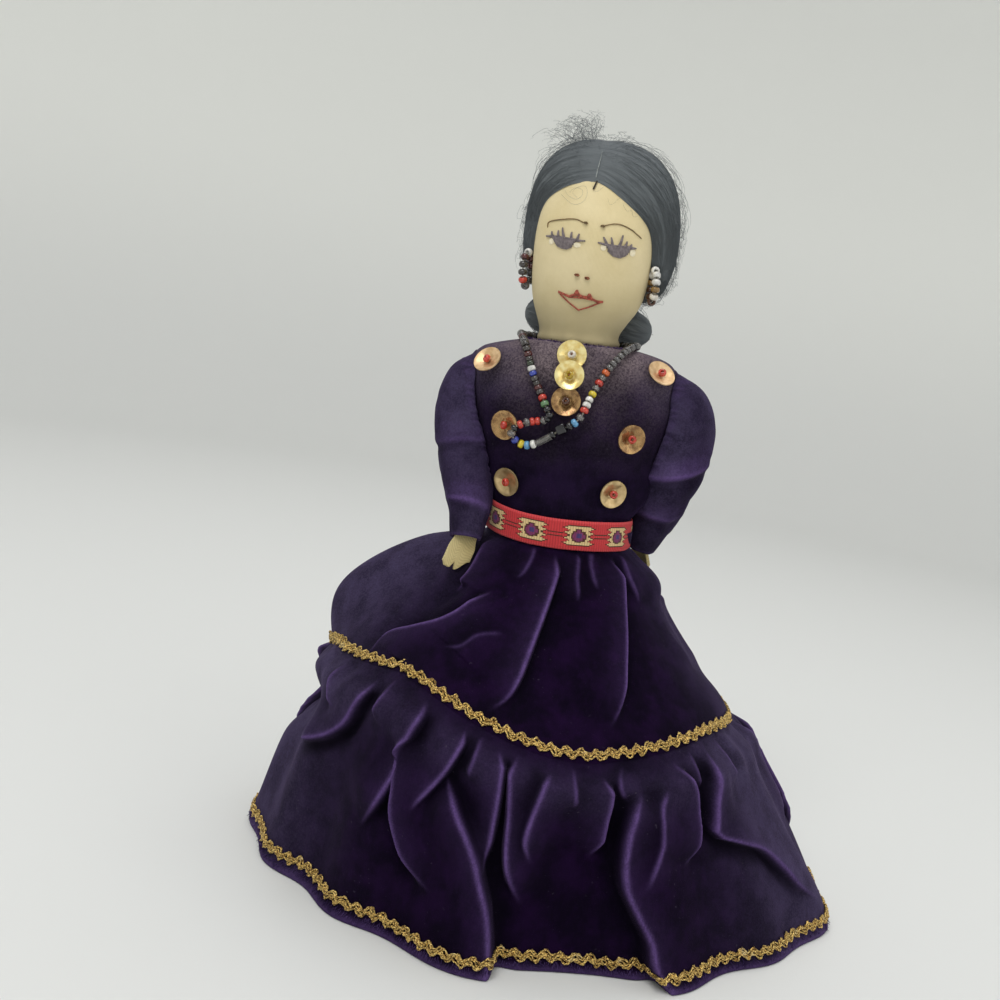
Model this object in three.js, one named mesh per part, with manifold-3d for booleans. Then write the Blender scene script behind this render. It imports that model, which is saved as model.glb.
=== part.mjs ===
// A soft cloth doll in a velvet blouse and a two-tier velvet skirt, with beads, sequins and braid.
// Millimetres, +Z up. The face looks along -Y. Left and right are the doll's own, so left is +X.
// The origin is on the table, at the centre of the hem's footprint.
import * as THREE from "three";
import { mergeVertices } from "three/addons/utils/BufferGeometryUtils.js";
import Module from "manifold-3d";

const wasm = await Module();
wasm.setup();

// Clearances
const seatGap = 0.35; // between pieces that are sewn or laid together
const swingGap = 0.6; // between pieces that turn against each other

// Cloth and thread
const velvet = 1.4; // thickness of the velvet with its pile
const beadRadius = 1.5;
const beadPitch = 2.2; // from bead to bead along a strand
const threadRadius = 0.75; // the waist of a strand between two beads

// Skirt: the drop of each tier, and how far the seam and the hem reach from the body's axis
const upperTierDrop = 53.5;
const lowerTierDrop = 66.7;
const seamReach = { front: 74, back: 62, left: 73, right: 75 };
const hemReach = { front: 84, back: 76, left: 120, right: 94 };
const skirtTuck = 7; // the skirt's top, above the belt's lower edge
const upperAround = 76; // points round each tier
const lowerAround = 88;
const frontCrowding = 0.25; // the points lie closer at the front, where the folds are sharpest
const puffTurn = 255; // the upper tier stands out fullest here, in degrees from the front
const puffWidth = 34;
const lobeTurn = 264; // and bulges once more in the middle of its drop
const lobeWidth = 18;
const lobeDepth = 7.5;
const gatherPuff = 2.2; // the lower tier swells below its gathers
const gatherDrop = 0.11;
// Main folds: where each ridge lies, in degrees from the front towards the left, its width and its depth
const upperFolds = [
  { at: -62, width: 12, depth: 1.2 },
  { at: -32, width: 12, depth: 1.8 },
  { at: -7, width: 10, depth: 1.6 },
  { at: 19, width: 11, depth: 1.8 },
  { at: 47, width: 12, depth: 1.5 },
  { at: 76, width: 12, depth: 2 },
  { at: 116, width: 13, depth: 3 },
  { at: 146, width: 13, depth: 4.5 },
  { at: 176, width: 13, depth: 4.5 },
  { at: 209, width: 13, depth: 4.5 },
  { at: 241, width: 12, depth: 4 },
  { at: 268, width: 11, depth: 3.5 },
];
const lowerFolds = [
  { at: -82, width: 9, depth: 5 },
  { at: -58, width: 10, depth: 5.6 },
  { at: -33, width: 10, depth: 5.6 },
  { at: -6, width: 11, depth: 7.4 },
  { at: 30, width: 9, depth: 6 },
  { at: 53, width: 9, depth: 4.6 },
  { at: 77, width: 10, depth: 5 },
  { at: 103, width: 11, depth: 8 },
  { at: 130, width: 11, depth: 8 },
  { at: 157, width: 11, depth: 8 },
  { at: 184, width: 11, depth: 8 },
  { at: 211, width: 11, depth: 8 },
  { at: 237, width: 10, depth: 6.5 },
  { at: 259, width: 9, depth: 5 },
];
// Creases over the folds: the line of each as turn and drop, its height, how far its soft side spreads,
// and the side on which it falls off short: 1 towards the left, -1 towards the right
const creaseEdge = 3; // how far the short side spreads
const upperCreases = [
  { line: [[2, 0.03], [-3.5, 0.44], [-6, 0.72], [-10, 0.87]], height: 4.6, width: 14, steep: 1 },
  { line: [[44, 0.03], [38, 0.22], [32, 0.46], [28, 0.66], [24, 0.88]], height: 4.6, width: 14, steep: 1 },
  { line: [[-25, 0.28], [-31, 0.42], [-46, 0.58], [-56, 0.8]], height: 5.2, width: 13, steep: -1 },
  { line: [[-43, 0.26], [-52, 0.47], [-57, 0.67], [-60, 0.8]], height: -3.4, width: 6, steep: 0 },
  { line: [[100, 0.26], [104, 0.55], [102, 0.84]], height: 3.2, width: 9, steep: 1 },
  { line: [[122, 0.26], [119, 0.5], [121, 0.8]], height: 2.8, width: 8, steep: -1 },
  { line: [[143, 0.05], [148, 0.45], [146, 0.82]], height: 3.6, width: 9, steep: 1 },
  { line: [[166, 0.04], [163, 0.4], [165, 0.66]], height: 3, width: 8, steep: -1 },
  { line: [[187, 0.05], [190, 0.5], [186, 0.84]], height: 3.6, width: 9, steep: 1 },
  { line: [[209, 0.04], [205, 0.35], [208, 0.7]], height: 2.8, width: 8, steep: -1 },
  { line: [[228, 0.05], [231, 0.4], [229, 0.75]], height: 3.2, width: 9, steep: 1 },
  { line: [[247, 0.06], [244, 0.45], [240, 0.8]], height: 3.4, width: 9, steep: -1 },
];
const lowerCreases = [
  { line: [[-44, 0.02], [-46, 0.12], [-52, 0.23], [-62, 0.34]], height: 4, width: 9, steep: 1 },
  { line: [[-24, 0], [-27, 0.1], [-27, 0.23], [-28.5, 0.36], [-31, 0.56]], height: 4.4, width: 10, steep: 1 },
  { line: [[-26, 0.1], [-24.5, 0.24], [-22, 0.42], [-16, 0.6], [-10, 0.74]], height: 4.4, width: 9, steep: -1 },
  { line: [[-15, 0.15], [-9, 0.34], [-4, 0.56], [-1, 0.76], [0, 1.1]], height: 5.6, width: 12, steep: 1 },
  { line: [[-3.7, 0.02], [-3.5, 0.3], [-3.7, 0.58]], height: 3.4, width: 7, steep: 1 },
  { line: [[0, 0.02], [1.5, 0.28], [2.5, 0.5], [5, 0.74]], height: 3.8, width: 8, steep: -1 },
  { line: [[8, 0.04], [6, 0.22], [5, 0.36], [5.5, 0.54]], height: 3.4, width: 7, steep: -1 },
  { line: [[20, 0.04], [19, 0.2], [17.5, 0.38], [16.5, 0.52]], height: 3.8, width: 8, steep: 1 },
  { line: [[29, 0.12], [25, 0.3], [24, 0.53], [26, 0.74], [29, 1.1]], height: 5.6, width: 12, steep: -1 },
  { line: [[41.5, 0.03], [42, 0.18], [39, 0.34], [34.5, 0.52]], height: 4.2, width: 8, steep: 1 },
  { line: [[56, 0], [47, 0.32], [53, 0.4], [65, 0.55], [77, 0.85]], height: 4.6, width: 9, steep: -1 },
  { line: [[92, 0.02], [95, 0.3], [93, 0.62]], height: 3.4, width: 8, steep: 1 },
  { line: [[106, 0.02], [103, 0.35], [106, 0.8]], height: 4.2, width: 9, steep: -1 },
  { line: [[119, 0.02], [122, 0.3], [121, 0.55]], height: 3, width: 7, steep: 1 },
  { line: [[133, 0.02], [130, 0.4], [134, 0.85]], height: 4.4, width: 9, steep: -1 },
  { line: [[147, 0.02], [149, 0.3], [146, 0.6]], height: 3.2, width: 8, steep: 1 },
  { line: [[160, 0.02], [163, 0.4], [161, 0.78]], height: 4, width: 9, steep: 1 },
  { line: [[173, 0.02], [170, 0.3], [172, 0.55]], height: 3, width: 7, steep: -1 },
  { line: [[187, 0.02], [190, 0.45], [187, 0.85]], height: 4.4, width: 9, steep: 1 },
  { line: [[201, 0.02], [198, 0.3], [200, 0.6]], height: 3.2, width: 8, steep: -1 },
  { line: [[214, 0.02], [217, 0.35], [215, 0.75]], height: 3.8, width: 9, steep: -1 },
  { line: [[228, 0.02], [225, 0.4], [229, 0.82]], height: 4.2, width: 9, steep: 1 },
  { line: [[243, 0.02], [246, 0.3], [243, 0.55]], height: 3, width: 7, steep: -1 },
  { line: [[257, 0.02], [254, 0.35], [258, 0.7]], height: 3.6, width: 8, steep: 1 },
];

// Gold braid: one on the tier seam and one above the hem
const braidWidth = 3.4;
const braidThickness = 1.1;
const seamBraidRise = 0.4; // the seam braid's lower edge, above the seam
const hemBraidRise = 4.6; // the hem braid's lower edge, above the table

// Belt
const beltWidth = 10.4;
const beltThickness = 0.8;

// Blouse body: half sizes and their rise above the middle of the belt
const bodyLean = -3.5; // degrees about Y: the upper body leans to the doll's right
const waistHalfWidth = 23.8;
const waistHalfDepth = 16.4;
const chestRise = 35;
const chestHalfWidth = 34;
const chestHalfDepth = 20;
const shoulderRise = 50;
const shoulderHalfWidth = 37.2;
const shoulderHalfDepth = 17.6;
const yokeRise = 60.5; // the shoulders stay broad up to here, then round over to the neck
const yokeHalfWidth = 33.4;
const yokeHalfDepth = 15.8;
const necklineRise = 65;
const bodiceTuck = 8; // the blouse reaches this far below the middle of the belt

// Torso and legs
const torsoTuck = 11; // the torso reaches this far below the middle of the belt
const torsoEase = 1.6; // the torso's hips are drawn in under the blouse
const legSpacing = 24;
const thighRadius = 9.4;
const ankleRadius = 6.2;
const soleHeight = 0.6; // the shoes hang just clear of the table

// Shoes
const shoeLength = 27;
const shoeHalfWidth = 7.6;
const shoeHeight = 13;
const shoeForward = 6; // the middle of the sole, in front of the ankle
const ankleTuck = 8; // the leg reaches this far into the shoe

// Arms: each station is a drop below the shoulder, the distance out from the blouse,
// the distance forward for the arm that lies in front, and the sleeve's radius
const armStations = [
  { drop: -0.5, out: 0.8, forward: 0, radius: 7.6 },
  { drop: 6, out: 2.8, forward: 0.5, radius: 9.2 },
  { drop: 14, out: 4.6, forward: 1.8, radius: 9.8 },
  { drop: 28, out: 6.8, forward: 5, radius: 9.6 },
  { drop: 42, out: 9, forward: 11, radius: 8.2 },
  { drop: 56, out: 9.2, forward: 16, radius: 5.8 },
];
const armForward = { right: 1, left: -0.7 }; // the right hand lies in front of the skirt, the left behind
const coreTuck = 0.82; // the stuffing fills this share of the sleeve
const handSlope = { out: 0.3, forward: 0.55 }; // how far a hand points out and forward, for each unit down

// Hands
const handLength = 12;
const handHalfWidth = 4.6;
const handThickness = 1.6;
const handTuck = 3;
const thumbNotch = 4.5;
const wristEase = 1; // room for the hand to slant in its cuff

// Head
const headTurn = -7; // degrees: the face looks slightly to the doll's right
const headShift = 1.5; // the head sits this far to the left of the neckline's middle
const headHeight = 61.5;
const neckHalfWidth = 15.2;
const neckHalfDepth = 12.6;
const cheekHalfWidth = 20.6;
const faceDepth = 16.8;
const headBack = 18.6;
const cheekShare = 0.5; // the head is widest at this share of its height

// Hair
const hairSide = 6; // thickness over the ears and the back
const hairCrown = 8; // thickness over the crown
const hairNape = 3; // the hair ends this far above the neck seam
const hairSetBack = 4; // the hair's middle lies behind the head's
const hairlineHalfWidth = 18.6;
const hairlineHeight = 53; // the parting meets the face here, above the neck seam
const earHeight = 31; // the hair sweeps back from here
const partingGap = 0.4;
const partingLength = 13;

// Bun and its tie
const bunHalfLength = 23.5;
const bunRadius = 7.4;
const bunDip = 0.42; // how deep the tie draws the bun in, as a share of its radius
const bunRise = 10;
const bunSink = 6.5; // the bun lies this far inside the hair's back
const tieWidth = 5;
const tieThickness = 1.5;

// Earrings: a loop of beads at each side of the face
const earringDrop = 9.4; // height of the loop, between bead centres
const earringWidth = 4.6;
const earringTop = 27.2; // the loop hangs from here, above the neck seam
const earringTurn = 65; // degrees: the loop's plane, from facing front
const earringForward = 2;

// Sequins
const sequinRadius = 5;
const sequinThickness = 0.45;
const sequinCup = 1.1; // the rim stands this far above the middle
const sequinHole = 0.6;

// Necklace: the strand's places on the blouse front, from the doll's right side of the neck to its left,
// as x, the rise above the belt, and a lift where it lies over a sequin's rim
const necklaceFront = [
  [-17.2, 61.6, 0.5],
  [-15.6, 58.2, 0],
  [-13.9, 53.6, 0],
  [-11.6, 49, 0],
  [-9.4, 45, 0.5],
  [-7.8, 42, 1],
  [-6.4, 39.6, 1],
  [-8.2, 38, 0],
  [-11.1, 37.5, 0],
  [-14, 36.6, 1.4],
  [-16.4, 35.2, 2.6],
  [-17.3, 33.1, 2.8],
  [-16.2, 30.8, 1.6],
  [-13.8, 29.4, 0.4],
  [-11, 29.9, 0],
  [-7.6, 31.8, 0],
  [-4.7, 34, 0],
  [-2, 36, 0.6],
  [1, 37.6, 1.4],
  [3.6, 40.3, 1.8],
  [5, 44.2, 1.8],
  [6.8, 48.8, 0.8],
  [8.7, 53, 0],
  [10.6, 56.6, 0],
  [13, 60, 0],
  [15.8, 62.4, 0.5],
];
const necklaceBack = [70, 105, 140, 180, 220, 255, 290]; // degrees round the neck, from the front
const necklaceNape = 0.7; // behind the neck the strand lies this far below the neckline

// Colours
const cloth = (color, roughness = 0.95) => new THREE.MeshStandardMaterial({ color, roughness, metalness: 0 });
const purpleVelvet = cloth(0x2c1040);
const creamMuslin = cloth(0xd9cba6, 0.9);
const tanTwill = cloth(0xc8a878, 0.9);
const redRibbon = cloth(0x9c1420, 0.8);
const blackHair = cloth(0x12100f, 0.6);
const whiteYarn = cloth(0xe8e2d4, 0.9);
const brownHide = cloth(0x7a4a2a, 0.85);
const redGlass = cloth(0xa80c18, 0.15);
const pearlGlass = cloth(0xe6dccb, 0.2);
const amberGlass = cloth(0xd9a520, 0.15);
const brownGlass = cloth(0x6b4a2c, 0.15);
const mixedGlass = cloth(0x3a4a6a, 0.15);
const goldFoil = new THREE.MeshStandardMaterial({ color: 0xc79a3a, roughness: 0.25, metalness: 1 });
const goldThread = new THREE.MeshStandardMaterial({ color: 0xb98f3c, roughness: 0.4, metalness: 1 });

const degrees = THREE.MathUtils.degToRad;
const lerp = THREE.MathUtils.lerp;
const upAxis = new THREE.Vector3(0, 0, 1);
const beltHeight = lowerTierDrop + upperTierDrop + beltWidth / 2;

// One closed body from a stack of rings with equal counts. A looped stack joins its last ring to its first,
// and an open one gets a fan over each end.
function loft(rings, looped = false) {
  const around = rings[0].length;
  const points = rings.flat();
  const faces = [];
  const spans = looped ? rings.length : rings.length - 1;
  for (let row = 0; row < spans; row += 1) {
    const above = (row + 1) % rings.length;
    for (let i = 0; i < around; i += 1) {
      const j = (i + 1) % around;
      const [a, b] = [row * around + i, row * around + j];
      const [c, d] = [above * around + j, above * around + i];
      faces.push(a, b, c, a, c, d);
    }
  }
  if (!looped) {
    const lastRow = (rings.length - 1) * around;
    const foot = points.push(centreOf(rings[0])) - 1;
    const crown = points.push(centreOf(rings.at(-1))) - 1;
    for (let i = 0; i < around; i += 1) {
      const j = (i + 1) % around;
      faces.push(foot, j, i, crown, lastRow + i, lastRow + j);
    }
  }
  return facingOut(points, faces);
}

function centreOf(ring) {
  const sum = ring.reduce((total, point) => total.add(point), new THREE.Vector3());
  return sum.divideScalar(ring.length);
}

// A geometry from points and faces, turned inside out if its volume comes out negative.
function facingOut(points, faces) {
  let volume = 0;
  const cross = new THREE.Vector3();
  for (let k = 0; k < faces.length; k += 3) {
    cross.crossVectors(points[faces[k + 1]], points[faces[k + 2]]);
    volume += points[faces[k]].dot(cross);
  }
  const geometry = new THREE.BufferGeometry().setFromPoints(points);
  geometry.setIndex(volume > 0 ? faces : faces.toReversed());
  return geometry;
}

// Solids for cutting, and back to a geometry
function solidOf(geometry) {
  const bare = geometry.clone();
  bare.deleteAttribute("normal");
  bare.deleteAttribute("uv");
  const merged = mergeVertices(bare, 1e-4);
  return new wasm.Manifold(
    new wasm.Mesh({
      numProp: 3,
      vertProperties: Float32Array.from(merged.attributes.position.array),
      triVerts: Uint32Array.from(merged.index.array),
    }),
  );
}

function geometryOf(solid) {
  const mesh = solid.getMesh();
  const geometry = new THREE.BufferGeometry();
  geometry.setAttribute("position", new THREE.BufferAttribute(mesh.vertProperties, mesh.numProp));
  geometry.setIndex(new THREE.BufferAttribute(mesh.triVerts, 1));
  return geometry;
}

function piece(parent, name, geometry, material) {
  const mesh = new THREE.Mesh(geometry, material);
  mesh.name = name;
  parent.add(mesh);
  return mesh;
}

// Smooth values between stations: each station is a height followed by its sizes.
function profile(stations) {
  const heights = stations.map(([height]) => height);
  const sizes = stations.flatMap(([, ...values]) => values);
  return new THREE.CubicInterpolant(heights, sizes, stations[0].length - 1);
}

// A closed ring of points, from the front towards the left
function ring(count, pointAt) {
  return Array.from({ length: count }, (_, i) => pointAt((i / count) * 2 * Math.PI));
}

// Outward normals of a grid of rings, listed from the top; the first and last rings stay level.
function gridNormals(grid) {
  return grid.map((row, k) => row.map((point, i) => {
    const count = row.length;
    const along = row[(i + 1) % count].clone().sub(row[(i + count - 1) % count]);
    const above = grid[Math.max(k - 1, 0)][i];
    const below = grid[Math.min(k + 1, grid.length - 1)][i];
    const normal = along.cross(above.clone().sub(below));
    if (k === 0 || k === grid.length - 1) normal.setZ(0);
    return normal.normalize();
  }));
}

function offsetGrid(grid, distance) {
  const normals = gridNormals(grid);
  return grid.map((row, k) => row.map((point, i) => point.clone().addScaledVector(normals[k][i], distance)));
}

function clothShell(grid) {
  return loft([...grid, ...offsetGrid(grid, -velvet).reverse()], true);
}

// Blouse body
const necklineHalfWidth = neckHalfWidth + seatGap + velvet;
const necklineHalfDepth = neckHalfDepth + seatGap + velvet;
const bodiceProfile = profile([
  [-bodiceTuck, waistHalfWidth, waistHalfDepth],
  [0, waistHalfWidth, waistHalfDepth],
  [beltWidth / 2, waistHalfWidth, waistHalfDepth],
  [chestRise, chestHalfWidth, chestHalfDepth],
  [shoulderRise, shoulderHalfWidth, shoulderHalfDepth],
  [yokeRise, yokeHalfWidth, yokeHalfDepth],
  [necklineRise, necklineHalfWidth, necklineHalfDepth],
]);

function bodicePoint(turn, rise, offset = 0) {
  const [halfWidth, halfDepth] = bodiceProfile.evaluate(rise);
  const [x, y] = [(halfWidth + offset) * Math.sin(turn), -(halfDepth + offset) * Math.cos(turn)];
  return new THREE.Vector3(x, y, rise);
}

function bodiceNormal(turn, rise) {
  const step = 0.02;
  const along = bodicePoint(turn + step, rise).sub(bodicePoint(turn - step, rise));
  const upward = bodicePoint(turn, rise + step).sub(bodicePoint(turn, rise - step));
  return along.cross(upward).normalize();
}

// The turn at which the blouse front lies at a given x
function turnAt(x, rise) {
  const [halfWidth] = bodiceProfile.evaluate(rise);
  return Math.asin(THREE.MathUtils.clamp(x / halfWidth, -1, 1));
}

// The blouse's rings, from the neckline down to its lower edge
const bodiceAround = 28;
const bodiceShares = [0, 0.025, 0.06, 0.11, 0.19, 0.3, 0.42, 0.56, 0.7, 0.82, 1];
const bodiceGrid = bodiceShares.map((share) => {
  const rise = lerp(necklineRise, -bodiceTuck, share);
  return ring(bodiceAround, (turn) => bodicePoint(turn, rise));
});

function torsoSolid() {
  const skin = offsetGrid(bodiceGrid, -velvet - seatGap);
  const hips = ring(bodiceAround, (turn) => {
    return bodicePoint(turn, -bodiceTuck, -velvet - seatGap - torsoEase).setZ(-torsoTuck);
  });
  return loft([...skin, hips]);
}

// The belt and everything else that wraps the waist keep to the blouse's own section.
function bandRing(offset, rise) {
  return ring(bodiceAround, (turn) => bodicePoint(turn, 0, offset).setZ(rise));
}

const beltInner = seatGap + velvet + seatGap;
const beltOuter = beltInner + beltThickness;

function beltBand() {
  const [low, high] = [-beltWidth / 2, beltWidth / 2];
  const corners = [[beltInner, low], [beltOuter, low], [beltOuter, high], [beltInner, high]];
  return loft(corners.map(([offset, rise]) => bandRing(offset, rise)), true);
}

function beltRoom(gap) {
  const half = beltWidth / 2 + gap;
  return solidOf(loft([bandRing(beltOuter + gap, -half), bandRing(beltOuter + gap, half)]));
}

// Skirt
const leanAxis = new THREE.Vector3(0, 1, 0);
const beltCentre = new THREE.Vector3(0, 0, beltHeight);
const fromBody = (point) => point.applyAxisAngle(leanAxis, degrees(bodyLean)).add(beltCentre);

function reachPoint(reach, turn, height) {
  const x = (Math.sin(turn) > 0 ? reach.left : reach.right) * Math.sin(turn);
  const y = (Math.cos(turn) > 0 ? reach.front : reach.back) * -Math.cos(turn);
  return new THREE.Vector3(x, y, height);
}

// How far a turn lies from another, the shorter way round
function turnFrom(turn, at) {
  return THREE.MathUtils.euclideanModulo(turn - at + Math.PI, 2 * Math.PI) - Math.PI;
}

// A bump of height 1 round the ring, with its middle and width in degrees
function bump(turn, at, width) {
  return Math.exp(-((turnFrom(turn, degrees(at)) / degrees(width)) ** 2));
}

// Ridges stand out and the cloth between them falls in, so that the mean reach stays as it is.
function foldAt(folds, turn) {
  return folds.reduce((total, { at, width, depth }) => {
    const mean = (width * Math.sqrt(Math.PI)) / 360;
    return total + depth * (bump(turn, at, width) - mean);
  }, 0);
}

// Each tier unrolled: its half girth at the top and at the foot, for a turn of one radian, and its length
const upperCloth = {
  top: waistHalfWidth,
  foot: seamReach.front,
  length: Math.hypot(upperTierDrop, seamReach.front - waistHalfWidth),
};
const lowerCloth = {
  top: seamReach.front,
  foot: hemReach.right,
  length: Math.hypot(lowerTierDrop, hemReach.right - seamReach.front),
};

// Creases swell from their start and die out at their end, or run on through the hem.
function creaseHeight(creases, cloth, turn, drop) {
  const { smoothstep } = THREE.MathUtils;
  return creases.reduce((total, { line, height, width, steep }) => {
    const middle = degrees((line[0][0] + line.at(-1)[0]) / 2);
    const flat = (at, fall) => {
      const girth = lerp(cloth.top, cloth.foot, fall);
      return new THREE.Vector3(turnFrom(at, middle) * girth, fall * cloth.length, 0);
    };
    const here = flat(turn, drop);
    const points = line.map(([at, fall]) => flat(degrees(at), fall));
    const runs = points.slice(1).map((end, k) => {
      const nearest = new THREE.Line3(points[k], end).closestPointToPoint(here, true, new THREE.Vector3());
      const away = here.clone().sub(nearest);
      return { nearest, gap: away.length(), side: end.clone().sub(points[k]).cross(away).z };
    });
    const { nearest, gap, side } = runs.reduce((best, run) => (run.gap < best.gap ? run : best));
    const share = (nearest.y - points[0].y) / (points.at(-1).y - points[0].y);
    const end = line.at(-1)[1] > 1 ? 1 : 1 - smoothstep(share, 0.7, 1);
    const spread = side * steep < 0 ? creaseEdge : width;
    return total + height * smoothstep(share, 0, 0.12) * end * Math.exp(-((gap / spread) ** 2));
  }, 0);
}

function waistPoint(turn, rise) {
  return fromBody(bodicePoint(turn, 0, seatGap + velvet).setZ(rise));
}

// drop runs from 0 at the belt's lower edge to 1 at the tier seam
function upperTierPoint(turn, drop) {
  const waist = waistPoint(turn, -beltWidth / 2);
  const seam = reachPoint(seamReach, turn, lowerTierDrop);
  const full = Math.sin((drop * Math.PI) / 2) ** 0.6;
  const spread = lerp(drop, full, bump(turn, puffTurn, puffWidth));
  const point = waist.clone().lerp(seam, spread).setZ(lerp(waist.z, seam.z, drop));
  const lobe = lobeDepth * bump(turn, lobeTurn, lobeWidth);
  const fold = (foldAt(upperFolds, turn) + lobe) * Math.sin(Math.PI * drop)
    + creaseHeight(upperCreases, upperCloth, turn, drop);
  return point.add(new THREE.Vector3(Math.sin(turn), -Math.cos(turn), 0).multiplyScalar(fold));
}

// drop runs from 0 at the tier seam to 1 at the hem
function lowerTierPoint(turn, drop) {
  const top = lowerTierDrop - seatGap;
  const seam = reachPoint(seamReach, turn, top);
  const hem = reachPoint(hemReach, turn, 0);
  const point = seam.clone().lerp(hem, drop ** 0.8).setZ(lerp(top, 0, drop));
  const gather = gatherPuff * Math.exp(-(((drop - gatherDrop) / 0.1) ** 2));
  const crease = creaseHeight(lowerCreases, lowerCloth, turn, drop);
  const fold = foldAt(lowerFolds, turn) * Math.sin((Math.min(drop * 1.6, 1) * Math.PI) / 2)
    + (crease + gather) * THREE.MathUtils.smoothstep(drop, 0, 0.1);
  return point.add(new THREE.Vector3(Math.sin(turn), -Math.cos(turn), 0).multiplyScalar(fold));
}

const skirtRing = (count, pointAt) => ring(count, (turn) => pointAt(turn - frontCrowding * Math.sin(turn)));
const upperGrid = [
  skirtRing(upperAround, (turn) => waistPoint(turn, skirtTuck - beltWidth / 2)),
  ...[0, 0.12, 0.28, 0.47, 0.68, 0.9, 1].map((drop) => {
    return skirtRing(upperAround, (turn) => upperTierPoint(turn, drop));
  }),
];
const lowerGrid = [0, 0.13, 0.28, 0.45, 0.64, 0.86, 1].map((drop) => {
  return skirtRing(lowerAround, (turn) => lowerTierPoint(turn, drop));
});

// A band of braid on the lowest row of faces of a tier, between two heights
function braidBand(grid, low, high) {
  const [upper, lower] = grid.slice(-2);
  const share = (i, height) => (upper[i].z - height) / (upper[i].z - lower[i].z);
  const edge = (height, distance) => {
    const surface = upper.map((point, i) => point.clone().lerp(lower[i], share(i, height)));
    const normals = gridNormals([upper, surface, lower])[1];
    return surface.map((point, i) => point.addScaledVector(normals[i], distance));
  };
  const outer = seatGap + braidThickness;
  return loft([edge(low, seatGap), edge(low, outer), edge(high, outer), edge(high, seatGap)], true);
}

// Round rings along a curve, with a radius for each share of its length
function sweepRings(curve, radiusAt, sides, steps, reference) {
  return Array.from({ length: steps + 1 }, (_, k) => {
    const share = k / steps;
    const tangent = curve.getTangent(share);
    const across = tangent.clone().cross(reference).normalize();
    const outward = across.clone().cross(tangent);
    const centre = curve.getPoint(share);
    const radius = radiusAt(share);
    return ring(sides, (turn) => centre.clone()
      .addScaledVector(across, radius * Math.sin(turn))
      .addScaledVector(outward, radius * Math.cos(turn)));
  });
}

// Rings that close the start of a sweep with a dome
function domeRings(rings) {
  const centre = centreOf(rings[0]);
  const back = centre.clone().sub(centreOf(rings[1])).normalize();
  const radius = rings[0][0].distanceTo(centre);
  return [72, 45, 20].map((angle) => {
    const [shrink, rise] = [Math.cos(degrees(angle)), radius * Math.sin(degrees(angle))];
    return rings[0].map((point) => point.clone().sub(centre).multiplyScalar(shrink).add(centre)
      .addScaledVector(back, rise));
  });
}

// Arms
const frontAxis = new THREE.Vector3(0, -1, 0);
const armSides = 12;
const armSteps = 10;

function armCurve(side) {
  const sign = side === "left" ? 1 : -1;
  return new THREE.CatmullRomCurve3(armStations.map(({ drop, out, forward }) => {
    const rise = shoulderRise - drop;
    const [halfWidth] = bodiceProfile.evaluate(Math.max(rise, -bodiceTuck));
    return new THREE.Vector3(sign * (halfWidth + out), -forward * armForward[side], rise);
  }));
}

function sleeveRadius(share) {
  const place = share * (armStations.length - 1);
  const below = Math.min(Math.floor(place), armStations.length - 2);
  return lerp(armStations[below].radius, armStations[below + 1].radius, place - below);
}

function sleeveRings(curve, inset) {
  const rings = sweepRings(curve, (share) => sleeveRadius(share) - inset, armSides, armSteps, frontAxis);
  return [...domeRings(rings), ...rings];
}

// What the blouse and the belt fill, with room round them for an arm to swing clear
const armRoom = solidOf(loft(offsetGrid(bodiceGrid, swingGap))).add(beltRoom(swingGap));

function sleeveSolid(curve) {
  const outside = sleeveRings(curve, 0);
  const inside = sleeveRings(curve, velvet).reverse();
  return geometryOf(solidOf(loft([...outside, ...inside])).subtract(armRoom));
}

function armCoreSolid(curve) {
  const rings = sleeveRings(curve, velvet + seatGap);
  const kept = Math.round(rings.length * coreTuck);
  return geometryOf(solidOf(loft(rings.slice(0, kept))).subtract(armRoom));
}

function handOutline() {
  const cuffRadius = armStations.at(-1).radius - velvet;
  const wrist = Math.sqrt((cuffRadius - seatGap) ** 2 - (handThickness / 2) ** 2) - wristEase;
  const outline = new THREE.Shape();
  outline.moveTo(-wrist, -handTuck);
  outline.lineTo(wrist, -handTuck);
  outline.lineTo(wrist, 0);
  outline.quadraticCurveTo(handHalfWidth, handLength * 0.2, handHalfWidth, handLength * 0.8);
  outline.lineTo(handHalfWidth * 0.45, handLength * 0.86);
  outline.lineTo(handHalfWidth * 0.2, handLength - thumbNotch);
  outline.lineTo(-handHalfWidth * 0.3, handLength);
  outline.lineTo(-handHalfWidth, handLength * 0.94);
  outline.quadraticCurveTo(-handHalfWidth, handLength * 0.2, -wrist, 0);
  outline.closePath();
  return outline;
}

function handSolid(curve, side) {
  const geometry = new THREE.ExtrudeGeometry(handOutline(), {
    depth: handThickness,
    bevelEnabled: false,
    curveSegments: 3,
  });
  geometry.translate(0, 0, -handThickness / 2);
  const sign = side === "left" ? 1 : -1;
  const along = new THREE.Vector3(sign * handSlope.out, -handSlope.forward * armForward[side], -1).normalize();
  const across = along.clone().cross(frontAxis).normalize();
  const facing = across.clone().cross(along);
  geometry.applyMatrix4(new THREE.Matrix4().makeBasis(across, along, facing).setPosition(curve.getPoint(1)));
  return geometry;
}

// Legs and shoes hang from the hips, each in a group of its own at its hip.
const hipDrop = torsoTuck + swingGap + thighRadius;
const hipPoint = (sign) => fromBody(new THREE.Vector3((sign * legSpacing) / 2, 0, -hipDrop));
const legSides = 12;

function legRings(hipHeight, inset) {
  const foot = new THREE.Vector3(0, 0, soleHeight + shoeHeight - ankleTuck - hipHeight);
  const line = new THREE.LineCurve3(new THREE.Vector3(), foot);
  const radiusAt = (share) => lerp(thighRadius, ankleRadius, share ** 0.8) + inset;
  return sweepRings(line, radiusAt, legSides, 6, frontAxis);
}

function legSolid(hipHeight) {
  const rings = legRings(hipHeight, 0);
  return loft([...domeRings(rings), ...rings]);
}

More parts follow.
